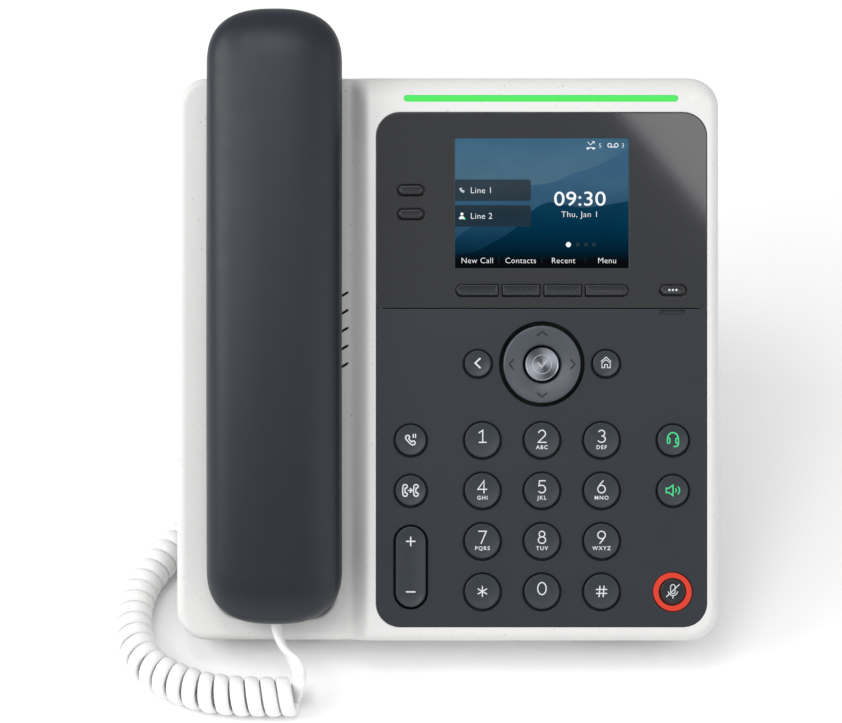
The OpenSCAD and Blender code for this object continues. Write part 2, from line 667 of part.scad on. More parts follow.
module pill_key() {
    translate([0, 0, flange_top - flange_t]) linear_extrude(key_top - 0.2 - flange_top + flange_t)
        pill(pill_w - 1.3, pill_h - 1.2);
    translate([0, 0, flange_top - flange_t]) linear_extrude(flange_t) pill(pill_w + 1, pill_h + 0.9);
}

module dial_key(i) color("darkslategray") on_face() dial_place(i) round_key(dial_hole);
module soft_key(i) color("black") on_face() translate([soft_x(i), soft_y, flange_top - flange_t]) {
    linear_extrude(key_top - 0.4 - flange_top + flange_t) soft_shape(i, 0.3);
    translate([-soft_w(i) / 2 + 0.3, -pill_h / 2 - 0.5, 0]) cube([soft_w(i) - 0.6, pill_h + 1, flange_t]);
}
module line_key(i) color("black") on_face() translate([left_keys_x, line_y[i], 0]) pill_key();
module page_key() color("black") on_face() translate([right_keys_x, soft_y, 0]) pill_key();
module side_key(i) color("darkslategray") on_face() round_place(i) round_key(round_hole(i));

module volume_rocker() color("darkslategray") on_face() translate([left_keys_x, volume_y, 0])
    translate([0, 0, flange_top - flange_t]) linear_extrude(key_top - flange_top + flange_t)
        rotate(90) pill(volume_h - 0.8, side_hole - 0.8);

module mute_key() color("black") on_face() translate([right_keys_x, dial_low_y, 0]) {
    tube_z(mute_hole_r - key_gap, [23.7, key_top - 0.4]);
    tube_z(mute_hole_r + 0.9, [23.7, 24.25]);
}

// The navigation ring tilts up and down with its frame, and left and right on it
module nav_frame() color("dimgray") on_face() translate([key_mid_x, nav_y, 0]) difference() {
    tube_z(12.4, [23.4, 24.4]);
    tube_z(7.4, [23, 25]);
}

module nav_ring() color("dimgray") on_face() translate([key_mid_x, nav_y, 0]) difference() {
    tube_z(ring_r, [25.1, 28.8]);
    tube_z(ring_in_r, [25, 29]);
}

module select_button() color("silver") on_face() translate([key_mid_x, nav_y, 0]) {
    tube_z(button_r, [25, 29]);
    tube_z(4.6, [23.6, 25.2]);
}

rear_housing();
front_housing();
display_bezel();
keypad_panel();
lcd_module();
light_bar();
mute_light_ring();
main_board();
keypad_board();
key_mat();
loudspeaker();
network_jacks();
cord_jacks();
power_jack();
housing_screws();
base_feet();
hook_plunger();
handset_tab();
stand();
stand_feet();
hinge_pins();
handset_back_shell();
handset_front_shell();
receiver();
handset_microphone();
handset_plug();
base_plug();
cord_tail_handset();
cord_coil();
cord_tail_base();
volume_rocker();
mute_key();
page_key();
nav_frame();
nav_ring();
select_button();
for (i = [0:11]) dial_key(i);
for (i = [0:3]) soft_key(i);
for (i = [0:1]) line_key(i);
for (i = [0:5]) side_key(i);
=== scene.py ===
"""Desk IP phone: the looks of each piece over the part's own frame."""
import logging
import math
from contextlib import contextmanager
from dataclasses import dataclass, field
from enum import Enum
from typing import Callable, Iterable, Iterator, Sequence

import bmesh
import bpy
from bpy.types import GeometryNodeTree, Material, Mesh, Node, NodeSocket, Object
from mathutils import Matrix, Quaternion, Vector
from mathutils.geometry import delaunay_2d_cdt, tessellate_polygon


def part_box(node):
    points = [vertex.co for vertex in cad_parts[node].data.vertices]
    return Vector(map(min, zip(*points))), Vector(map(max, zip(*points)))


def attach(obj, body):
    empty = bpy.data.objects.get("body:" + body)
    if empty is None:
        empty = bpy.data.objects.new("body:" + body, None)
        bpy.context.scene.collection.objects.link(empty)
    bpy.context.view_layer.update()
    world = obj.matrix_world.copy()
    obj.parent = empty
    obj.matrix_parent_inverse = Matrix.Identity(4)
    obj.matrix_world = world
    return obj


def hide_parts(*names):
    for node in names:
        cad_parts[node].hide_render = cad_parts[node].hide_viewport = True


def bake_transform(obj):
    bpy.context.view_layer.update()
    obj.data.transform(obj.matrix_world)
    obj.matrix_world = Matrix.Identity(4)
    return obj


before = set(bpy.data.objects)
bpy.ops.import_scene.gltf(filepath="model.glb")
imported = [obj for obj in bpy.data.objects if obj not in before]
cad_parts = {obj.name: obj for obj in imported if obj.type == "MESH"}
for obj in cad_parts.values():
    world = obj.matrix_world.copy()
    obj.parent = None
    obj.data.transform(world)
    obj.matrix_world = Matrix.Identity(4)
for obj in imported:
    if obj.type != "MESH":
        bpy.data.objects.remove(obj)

LOG = logging.getLogger("desk_phone")
MM = 0.001
Point2 = tuple[float, float]
Point3 = tuple[float, float, float]
Color = tuple[float, float, float]
Level = Callable[[float, float], float]
SMOOTH_DEG = 38.0


def clamp(value: float) -> float:
    """Keep a share between 0 and 1."""
    return min(max(value, 0.0), 1.0)


def rounding(radius: float, top: float, angles: Sequence[float]) -> list[Point2]:
    """Return the insets and levels of an edge that rolls up to a top, one for each angle."""
    return [(radius * (1 - math.cos(a)), top - radius * (1 - math.sin(a))) for a in angles]


# ---------------------------------------------------------------- places and shapes


@dataclass(frozen=True)
class FaceFrame:
    """The sloping face: x to the right, y up the face and w out of it, in millimetres."""

    tilt: float
    origin: Vector

    @classmethod
    def from_board(cls, tilt_deg: float, low_y: float, low_w: float, high_w: float) -> "FaceFrame":
        """Find the face's origin from the keypad board, a plain plate parallel to the face.

        Args:
            tilt_deg: Angle between the face and the desk.
            low_y: The board's lower edge, up the face, in millimetres.
            low_w: The board's back, in millimetres out of the face's origin.
            high_w: The board's front.

        Returns:
            The frame of the face.
        """
        t = math.radians(tilt_deg)
        low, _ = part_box("keypad_board")
        y = low.y - MM * (low_y * math.cos(t) - high_w * math.sin(t))
        z = low.z - MM * (low_y * math.sin(t) + low_w * math.cos(t))
        return cls(t, Vector((0.0, y, z)))

    def matrix(self) -> Matrix:
        """Turn millimetres on the face into metres in the part's frame."""
        return Matrix.Translation(self.origin) @ Matrix.Rotation(self.tilt, 4, "X") @ Matrix.Scale(MM, 4)

    def row(self, x: float, y: float, w: float) -> Vector:
        """Return a point of the face in the part's frame, in metres."""
        return self.matrix() @ Vector((x, y, w))

    def centre(self, node: str) -> Vector:
        """Return the middle of a CAD node on the face, in millimetres."""
        low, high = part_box(node)
        return self.matrix().inverted() @ ((low + high) / 2)


FACE = FaceFrame.from_board(tilt_deg=48.0, low_y=8.0, low_w=19.4, high_w=21.0)


@dataclass(frozen=True)
class Outline:
    """A rounded rectangle, which also makes discs, pills and one-ended pills."""

    x: float
    y: float
    w: float
    h: float
    radii: tuple[float, float, float, float]
    steps: int = 10

    @classmethod
    def rect(cls, x: float, y: float, w: float, h: float, r: float, steps: int = 10) -> "Outline":
        """Make a rectangle with four equal corners."""
        return cls(x, y, w, h, (r, r, r, r), steps)

    @classmethod
    def disc(cls, x: float, y: float, r: float, steps: int = 16) -> "Outline":
        """Make a circle."""
        return cls(x, y, 2 * r, 2 * r, (r, r, r, r), steps)

    @classmethod
    def pill(cls, x: float, y: float, w: float, h: float, steps: int = 12) -> "Outline":
        """Make a pill, upright or lying."""
        r = min(w, h) / 2
        return cls(x, y, w, h, (r, r, r, r), steps)

    def loop(self, inset: float = 0.0) -> list[Point2]:
        """Return the outline's points, counter-clockwise, moved in by a distance.

        Args:
            inset: How far to move in, in millimetres; below zero moves out.

        Returns:
            The points of four arcs, without a double where two arcs meet.
        """
        out: list[Point2] = []
        corners = ((1, 1, 0), (-1, 1, 90), (-1, -1, 180), (1, -1, 270))
        for i, ((sx, sy, start), radius) in enumerate(zip(corners, self.radii)):
            r = max(radius - inset, 0.02)
            cx = self.x + sx * (self.w / 2 - inset - r)
            cy = self.y + sy * (self.h / 2 - inset - r)
            straight = (self.h, self.w)[i % 2] - radius - self.radii[i - 1]
            for k in range(0 if straight > 1e-6 else 1, self.steps + 1):
                a = math.radians(start + 90 * k / self.steps)
                out.append((cx + r * math.cos(a), cy + r * math.sin(a)))
        return out

    def depth(self, x: float, y: float) -> float:
        """Return the distance from a point to the outline, above zero inside it."""
        r = self.radii[0]
        qx = abs(x - self.x) - (self.w / 2 - r)
        qy = abs(y - self.y) - (self.h / 2 - r)
        outside = math.hypot(max(qx, 0.0), max(qy, 0.0))
        return r - outside - min(max(qx, qy), 0.0)


class Form:
    """Collects the rings, strips and lids of one piece, in millimetres."""

    def __init__(self) -> None:
        """Start an empty form."""
        self.points: list[Vector] = []
        self.faces: list[tuple[int, ...]] = []
        self.slots: list[int] = []
        self.edges: list[tuple[int, int]] = []

    def absorb(self, mesh: Mesh, at: Sequence[float], slot: int, mend: bool = False) -> None:
        """Take in a finished mesh in millimetres, which is used up.

        Args:
            mesh: The mesh.
            at: Where its origin goes.
            slot: The material's index.
            mend: Whether its faces are first turned outwards.
        """
        if mend:
            mend_normals(mesh)
        start = len(self.points)
        for v in mesh.vertices:
            self.add(*(v.co + Vector(at)))
        for poly in mesh.polygons:
            self.face([start + i for i in poly.vertices], slot)
        bpy.data.meshes.remove(mesh)

    def add(self, x: float, y: float, w: float) -> int:
        """Add a point and return its index."""
        self.points.append(Vector((x, y, w)))
        return len(self.points) - 1

    def face(self, indices: Sequence[int], slot: int = 0) -> None:
        """Add one face with its material's index."""
        self.faces.append(tuple(indices))
        self.slots.append(slot)

    def ring(self, loop: Iterable[Point2], w: float) -> list[int]:
        """Add a closed ring of points at one level."""
        return [self.add(x, y, w) for x, y in loop]

    def strip(self, a: Sequence[int], b: Sequence[int], slot: int = 0, closed: bool = True) -> None:
        """Join two rings of equal length with four-sided faces.

        Args:
            a: The first ring; seen from outside it lies below b when it runs to the right.
            b: The second ring.
            slot: The material's index.
            closed: Whether the last point joins the first one.
        """
        n = len(a)
        for i in range(n if closed else n - 1):
            j = (i + 1) % n
            self.face((a[i], a[j], b[j], b[i]), slot)

    def skin(self, rings: Sequence[Sequence[int]], slot: int = 0, closed: bool = True) -> None:
        """Join each ring to the next one."""
        for a, b in zip(rings, rings[1:]):
            self.strip(a, b, slot, closed)

    def lid(self, outer: Sequence[int], holes: Sequence[Sequence[int]] = (), slot: int = 0,
            up: bool = True) -> None:
        """Fill a flat region, with holes where there are any.

        Args:
            outer: The outer ring, counter-clockwise seen from above.
            holes: Rings that stay open.
            slot: The material's index.
            up: Whether the lid faces out of the phone's face.
        """
        if not holes:
            self.face(list(outer) if up else list(reversed(outer)), slot)
            return
        rings = [list(outer), *[list(reversed(h)) for h in holes]]
        flat = [i for ring in rings for i in ring]
        for tri in tessellate_polygon([[self.points[i] for i in ring] for ring in rings]):
            a, b, c = (flat[k] for k in tri)
            p, q, r = self.points[a], self.points[b], self.points[c]
            area = (q - p).cross(r - p).z
            self.face((a, b, c) if (area > 0) == up else (a, c, b), slot)

    def plate(self, outer: Outline, low: float, top: float, edge: float, holes: Sequence[Outline] = (),
              hole_edge: float = 0.25, slot: int = 0, arc: int = 4) -> None:
        """Add a flat plate with rounded upper edges, round itself and round its holes.

        Args:
            outer: The plate's outline.
            low: Level of its back.
            top: Level of its front.
            edge: Radius of its outer edge.
            holes: Outlines of the holes through it.
            hole_edge: Radius of the holes' edges.
            slot: The material's index.
            arc: Faces across each rounded edge.
        """
        bottoms: list[list[int]] = []
        tops: list[list[int]] = []
        for shape, sign, radius in [(outer, 1, edge), *[(h, -1, hole_edge) for h in holes]]:
            rings = []
            rings.append(self.ring(shape.loop(0), low))
            for inset, level in rounding(radius, top, [math.pi / 2 * k / arc for k in range(arc + 1)]):
                rings.append(self.ring(shape.loop(sign * inset), level))
            rings.append(self.ring(shape.loop(sign * (radius + 0.1)), top))
            self.skin(rings if sign > 0 else rings[::-1], slot)
            bottoms.append(rings[0])
            tops.append(rings[-1])
        self.lid(tops[0], tops[1:], slot)
        self.lid(bottoms[0], bottoms[1:], slot, up=False)

    def cap(self, outer: Outline, levels: Sequence[tuple[float, float]], slot: int = 0,
            lean: Callable[[float], float] | None = None) -> None:
        """Add a solid that follows one outline through (inset, level) steps and ends in a flat top.

        Args:
            outer: The outline.
            levels: Pairs of inset and level, from the bottom up.
            slot: The material's index.
            lean: Gives how far a ring at a level is moved up the face.
        """
        rings = []
        for inset, w in levels:
            up = lean(w) if lean else 0.0
            rings.append(self.ring([(x, y + up) for x, y in outer.loop(inset)], w))
        self.skin(rings, slot)
        self.lid(rings[-1], slot=slot)
        self.lid(rings[0], slot=slot, up=False)

    def block(self, low: Sequence[float], high: Sequence[float], edge: float = 0.2, slot: int = 0) -> None:
        """Add a box between two corners, with small chamfers all round.

        Args:
            low: The lowest corner.
            high: The highest corner.
            edge: Width of the chamfers.
            slot: The material's index.
        """
        cx, cy = (low[0] + high[0]) / 2, (low[1] + high[1]) / 2
        shape = Outline.rect(cx, cy, high[0] - low[0], high[1] - low[1], edge, 2)
        self.cap(shape, [(edge, low[2]), (0, low[2] + edge), (0, high[2] - edge), (edge, high[2])], slot)

    def piece(self, name: str, *skins: "Finish", place: Matrix | None = None,
              smooth_deg: float = SMOOTH_DEG) -> Object:
        """Make the object, with its place in its mesh.

        Args:
            name: The piece's name.
            skins: Its finishes, in the order of the slots.
            place: Turns the form's points into the part's frame; on the face when left out.
            smooth_deg: Edges sharper than this stay sharp.

        Returns:
            The new object.
        """
        matrix = FACE.matrix() if place is None else place
        mesh = bpy.data.meshes.new(name)
        mesh.from_pydata([matrix @ p for p in self.points], [], self.faces)
        mesh.polygons.foreach_set("material_index", self.slots)
        for skin in skins:
            mesh.materials.append(FINISHES[skin])
        return settle(name, mesh, smooth_deg)


@contextmanager
def edited(mesh: Mesh) -> Iterator[bmesh.types.BMesh]:
    """Open a mesh for editing and write it back at the end."""
    work = bmesh.new()
    work.from_mesh(mesh)
    yield work
    work.to_mesh(mesh)
    work.free()


def mend_normals(mesh: Mesh) -> None:
    """Point every face of a closed mesh outwards."""
    with edited(mesh) as work:
        bmesh.ops.recalc_face_normals(work, faces=work.faces)
    mesh.update()


def linked(name: str, data: bpy.types.ID) -> Object:
    """Make an object for its data and put it in the scene."""
    made = bpy.data.objects.new(name, data)
    bpy.context.scene.collection.objects.link(made)
    return made


def drop(*holders: Object) -> None:
    """Remove objects that are used up, with their meshes."""
    for holder in holders:
        mesh = holder.data
        bpy.data.objects.remove(holder)
        bpy.data.meshes.remove(mesh)


def baked(holder: Object) -> Mesh:
    """Return the plain mesh that an object's modifiers make, and clear them."""
    bpy.context.view_layer.update()
    made = bpy.data.meshes.new_from_object(holder.evaluated_get(bpy.context.evaluated_depsgraph_get()))
    holder.modifiers.clear()
    return made


def settle(name: str, mesh: Mesh, smooth_deg: float = SMOOTH_DEG) -> Object:
    """Link a finished mesh as a piece with smooth shading.

    Args:
        name: The piece's name.
        mesh: Its mesh, already in the part's frame.
        smooth_deg: Edges sharper than this stay sharp.

    Returns:
        The new object.
    """
    mesh.validate()
    mesh.polygons.foreach_set("use_smooth", [True] * len(mesh.polygons))
    mesh.set_sharp_from_angle(angle=math.radians(smooth_deg))
    mesh.update()
    return linked(name, mesh)


def stand_in_for(piece: Object, body: str, slot: str, *nodes: str) -> Object:
    """Let a piece ride on its body and stand for its CAD nodes.

    Args:
        piece: The finished piece.
        body: The body that it rides on.
        slot: The record's material slot; not used.
        nodes: The CAD nodes that it replaces.

    Returns:
        The same piece.
    """
    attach(piece, body)
    if nodes:
        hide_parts(*nodes)
    LOG.info("%s rides on %s, %d faces", piece.name, body, len(piece.data.polygons))
    return piece


def smooth_line(points: Sequence[Vector], per: int) -> list[Vector]:
    """Run a smooth curve through points.

    Args:
        points: The points that it passes through.
        per: Steps from each point to the next.

    Returns:
        The curve's points.
    """
    out: list[Vector] = []
    for i in range(len(points) - 1):
        a, b = points[max(i - 1, 0)], points[i]
        c, d = points[i + 1], points[min(i + 2, len(points) - 1)]
        for k in range(per):
            t = k / per
            out.append(0.5 * (2 * b + (c - a) * t + (2 * a - 5 * b + 4 * c - d) * t * t
                              + (3 * b - a - 3 * c + d) * t * t * t))
    out.append(points[-1].copy())
    return out


# ---------------------------------------------------------------- finishes


class NodeSheet:
    """A small helper that lays out one material's nodes."""

    def __init__(self, name: str) -> None:
        """Start a material with an empty Principled shader."""
        self.material = bpy.data.materials.new(name)
        self.material.use_nodes = True
        self.tree = self.material.node_tree
        self.shader = self.tree.nodes["Principled BSDF"]
        self.coords = self.add("TexCoord")

    def link(self, a: NodeSocket, b: NodeSocket) -> None:
        """Join two sockets."""
        self.tree.links.new(a, b)

    def add(self, kind: str, values: dict[str | int, object] | None = None, **settings: str) -> Node:
        """Add a node.

        Args:
            kind: Its type, without the words that every shader node starts with.
            values: What its inputs hold; a socket is linked.
            settings: Its own settings.

        Returns:
            The node.
        """
        node = self.tree.nodes.new(f"ShaderNode{kind}")
        for name, value in settings.items():
            setattr(node, name, value)
        self.fill(node, values or {})
        return node

    def fill(self, node: Node, values: dict[str | int, object]) -> None:
        """Set a node's inputs, or link them where the value is a socket."""
        for name, value in values.items():
            if isinstance(value, NodeSocket):
                self.link(value, node.inputs[name])
            else:
                node.inputs[name].default_value = value

    def dress(self, **values: object) -> Material:
        """Set the shader's inputs, each named with underscores for spaces, and return the material."""
        self.fill(self.shader, {name.replace("_", " "): value for name, value in values.items()})
        return self.material

    def noise(self, per_m: float, detail: float = 3.0, rough: float = 0.5,
              stretch: Color = (1.0, 1.0, 1.0)) -> NodeSocket:
        """Add a noise on Object coordinates.

        Args:
            per_m: Features per metre.
            detail: Octaves.
            rough: How strong the small octaves are.
            stretch: Scale along each axis.

        Returns:
            The noise's value.
        """
        mapping = self.add("Mapping", {"Scale": stretch, "Vector": self.coords.outputs["Object"]})
        return self.add("TexNoise", {"Scale": per_m, "Detail": detail, "Roughness": rough,
                                     "Vector": mapping.outputs["Vector"]}).outputs["Fac"]

    def span(self, value: NodeSocket, low: float, high: float, to_low: float = 0.0,
             to_high: float = 1.0) -> NodeSocket:
        """Map one range onto another.

        Args:
            value: The value to map.
            low: Start of its range.
            high: End of its range.
            to_low: What low becomes.
            to_high: What high becomes.

        Returns:
            The mapped value.
        """
        return self.add("MapRange", {"From Min": low, "From Max": high, "To Min": to_low, "To Max": to_high,
                                     "Value": value}).outputs["Result"]

    def mix(self, factor: NodeSocket, a: object, b: object) -> NodeSocket:
        """Blend two colours, each a colour or a socket, and return the result."""
        first, second = (c if isinstance(c, NodeSocket) else (*c, 1.0) for c in (a, b))
        return self.add("Mix", {0: factor, 6: first, 7: second}, data_type="RGBA").outputs[2]

    def bump(self, height: NodeSocket, strength: float, distance: float) -> None:
        """Put a bump on the shader."""
        node = self.add("Bump", {"Strength": strength, "Distance": distance, "Height": height})
        self.dress(Normal=node.outputs["Normal"])


GRAIN_DEPTH = 0.00008
COAT_ROUGH = 0.06


@dataclass(frozen=True)
class MouldedPlastic:
    """Moulded plastic: slight colour drift, fine grain and uneven sheen."""

    color: Color
    rough: float = 0.42
    drift: float = 0.06
    grain: float = 0.10
    grain_per_m: float = 2600.0
    specular: float = 0.5

    def sheet(self, name: str) -> NodeSheet:
        """Lay out the nodes that every moulded plastic has."""
        s = NodeSheet(name)
        light = tuple(min(1.0, c * (1 + self.drift)) for c in self.color)
        dark = tuple(c * (1 - self.drift) for c in self.color)
        s.dress(Base_Color=s.mix(s.noise(60.0, 4.0), dark, light), Coat_Roughness=COAT_ROUGH)
        fine = s.noise(self.grain_per_m, 2.0, 0.6)
        sheen = s.span(s.noise(180.0, 5.0, 0.6), 0.3, 0.7, self.rough * 0.9, self.rough * 1.12)
        s.bump(fine, self.grain, GRAIN_DEPTH)
        s.dress(Roughness=sheen, Specular_IOR_Level=self.specular)
        return s

    def build(self, name: str) -> Material:
        """Make the material."""
        return self.sheet(name).material


@dataclass(frozen=True)
class FleckedPlastic(MouldedPlastic):
    """Off-white plastic with a sparse fine grey fleck moulded in."""

    fleck: Color = (0.42, 0.41, 0.40)

    def build(self, name: str) -> Material:
        """Make the material with two sizes of fleck."""
        s = self.sheet(name)
        base = s.shader.inputs["Base Color"].links[0].from_socket
        for per_m, reach in ((330.0, 0.075), (760.0, 0.10)):
            cell = s.add("TexVoronoi", {"Scale": per_m, "Vector": s.coords.outputs["Object"]})
            spot = s.span(cell.outputs["Distance"], reach, reach * 1.7, 0.85, 0.0)
            rare = s.span(s.noise(per_m * 0.41, 1.0), 0.50, 0.58)
            times = s.add("Math", {0: spot, 1: rare}, operation="MULTIPLY")
            base = s.mix(times.outputs[0], base, self.fleck)
        return s.dress(Base_Color=base)


@dataclass(frozen=True)
class SpunMetal:
    """Metal turned on a lathe: fine rings round a centre on the face, with a painted reflection of two bright
    and two dark sectors round that centre in its colour.
    """

    color: Color
    centre: Vector
    rough: float = 0.28

    def build(self, name: str) -> Material:
        """Make the material, with the painted reflection in its base colour."""
        s = NodeSheet(name)
        mapping = s.add("Mapping", vector_type="TEXTURE")
        s.fill(mapping, {"Location": self.centre, "Rotation": (FACE.tilt, 0.0, 0.0),
                         "Vector": s.coords.outputs["Object"]})
        place = mapping.outputs["Vector"]
        rings = s.add("TexWave", {"Scale": 900.0, "Distortion": 0.6, "Vector": place}, wave_type="RINGS",
                      rings_direction="Z").outputs["Fac"]
        # Painted reflection: the base colour swings round the centre between a shaded copy (0.3) and a lit
        # copy (1.35) of the metal, in two bright and two dark sectors that stand in for the light the spun
        # grooves catch.
        sweep = s.add("TexGradient", {"Vector": place}, gradient_type="RADIAL")
        angle = s.add("Math", {0: sweep.outputs["Fac"], 1: 4 * math.pi, 2: 0.5}, operation="MULTIPLY_ADD")
        painted_reflection = s.add("Math", {0: angle.outputs[0]}, operation="SINE")
        dark, light = (tuple(c * share for c in self.color) for share in (0.3, 1.35))
        s.bump(rings, 0.05, 0.00003)
        return s.dress(Base_Color=s.mix(s.span(painted_reflection.outputs[0], -1.0, 1.0), dark, light),
                       Roughness=s.span(rings, 0.0, 1.0, self.rough - 0.08, self.rough + 0.1), Metallic=1.0)


@dataclass(frozen=True)
class PlatedMetal:
    """Drawn or plated metal with fine streaks along one axis."""

    color: Color
    rough: float = 0.30
    stretch: Color = (0.05, 1.0, 1.0)

    def build(self, name: str) -> Material:
        """Make the material."""
        s = NodeSheet(name)
        streaks = s.noise(2400.0, 3.0, 0.6, self.stretch)
        dark = tuple(c * 0.8 for c in self.color)
        s.bump(streaks, 0.08, 0.00004)
        return s.dress(Base_Color=s.mix(streaks, dark, self.color), Metallic=1.0,
                       Roughness=s.span(streaks, 0.3, 0.7, self.rough - 0.08, self.rough + 0.12))


@dataclass(frozen=True)
class Glow:
    """A lit surface: a lamp's lens, or ink on a lit display."""

    color: Color
    strength: float = 1.0
    mottle: float = 0.06
    rough: float = 0.25

    def build(self, name: str) -> Material:
        """Make the material."""
        s = NodeSheet(name)
        dim = tuple(c * (1 - self.mottle) for c in self.color)
        return s.dress(Emission_Color=s.mix(s.noise(500.0), dim, self.color),
                       Base_Color=(*(c * 0.05 for c in self.color), 1.0),
                       Roughness=s.span(s.noise(900.0), 0.3, 0.7, self.rough - 0.05, self.rough + 0.05),
                       Emission_Strength=self.strength, Specular_IOR_Level=0.0)


@dataclass(frozen=True)
class GlowRamp:
    """A lit surface whose colour changes up the face."""

    low_y: float
    high_y: float
    stops: tuple[tuple[float, Color], ...]
    haze: float = 0.35

    def build(self, name: str) -> Material:
        """Make the material."""
        s = NodeSheet(name)
        up = Vector((0.0, math.cos(FACE.tilt), math.sin(FACE.tilt)))
        dot = s.add("VectorMath", {0: s.coords.outputs["Object"], 1: up}, operation="DOT_PRODUCT")
        ends = [FACE.row(0.0, y, 26.0).dot(up) for y in (self.low_y, self.high_y)]
        ramp = s.add("ValToRGB", {"Fac": s.span(dot.outputs["Value"], ends[0], ends[1])})
        marks = ramp.color_ramp.elements
        while len(marks) < len(self.stops):
            marks.new(0.5)
        for mark, (place, color) in zip(marks, self.stops):
            mark.position = place
            mark.color = (*color, 1.0)
        haze = s.mix(s.span(s.noise(90.0, 5.0, 0.6), 0.3, 0.7, 0.38, 0.62), (0.0, 0.0, 0.0), (1.0, 1.0, 1.0))
        glow = s.add("Mix", data_type="RGBA", blend_type="SOFT_LIGHT")
        s.fill(glow, {0: self.haze, 6: ramp.outputs["Color"], 7: haze})
        return s.dress(Emission_Color=glow.outputs[2], Base_Color=(0.0, 0.0, 0.0, 1.0), Roughness=0.2,
                       Emission_Strength=1.0, Specular_IOR_Level=0.0)


@dataclass(frozen=True)
class ClearPlastic:
    """Clear moulded plastic, slightly frosted."""

    color: Color = (0.86, 0.88, 0.90)

    def build(self, name: str) -> Material:
        """Make the material."""
        s = NodeSheet(name)
        pale = tuple(c * 0.93 for c in self.color)
        return s.dress(Base_Color=s.mix(s.noise(300.0, 4.0), pale, self.color), Transmission_Weight=0.55,
                       Roughness=s.span(s.noise(700.0, 4.0), 0.3, 0.7, 0.08, 0.2), IOR=1.49)


@dataclass(frozen=True)
class SolderMask:
    """A circuit board: green lacquer over faint copper tracks."""

    color: Color = (0.015, 0.13, 0.055)

    def build(self, name: str) -> Material:
        """Make the material."""
        s = NodeSheet(name)
        cell = s.add("TexBrick", {"Scale": 260.0, "Mortar Size": 0.06, "Vector": s.coords.outputs["Object"]})
        track = tuple(min(1.0, c * 1.9 + 0.01) for c in self.color)
        s.bump(cell.outputs["Fac"], 0.15, 0.00005)
        return s.dress(Base_Color=s.mix(cell.outputs["Fac"], self.color, track),
                       Roughness=s.span(s.noise(300.0, 4.0), 0.3, 0.7, 0.22, 0.36))


class Finish(Enum):
    """Every finish on the phone."""

    HOUSING = "housing"
    KEY_PANEL = "key_panel"
    LENS = "display_glass"
    KEY = "keys"
    GLOSS_KEY = "gloss_keys"
    NAV = "nav_ring"
    SPUN = "select_metal"
    HANDSET = "handset"
    CORD = "cord"
    PLUG = "clear_plug"
    GOLD = "gold"
    CALL_LIGHT = "call_light"
    MUTE_LIGHT = "mute_light"
    MAT = "rubber_mat"
    FEET = "rubber_feet"
    DARK = "dark_parts"
    BOARD = "circuit_board"
    SHIELD = "jack_metal"
    STEEL = "steel"
    BRIGHT = "bright_edge"
    LEGEND = "legend"
    GREEN_LEGEND = "green_legend"
    DIM_LEGEND = "dim_legend"
    SKY = "screen_sky"
    RIDGE_FAR = "screen_ridge_far"
    RIDGE_MID = "screen_ridge_mid"
    RIDGE_NEAR = "screen_ridge_near"
    SCREEN_INK = "screen_ink"
    SCREEN_BOX = "screen_box"
    SCREEN_DIM = "screen_dim"
    FLOOR = "floor"


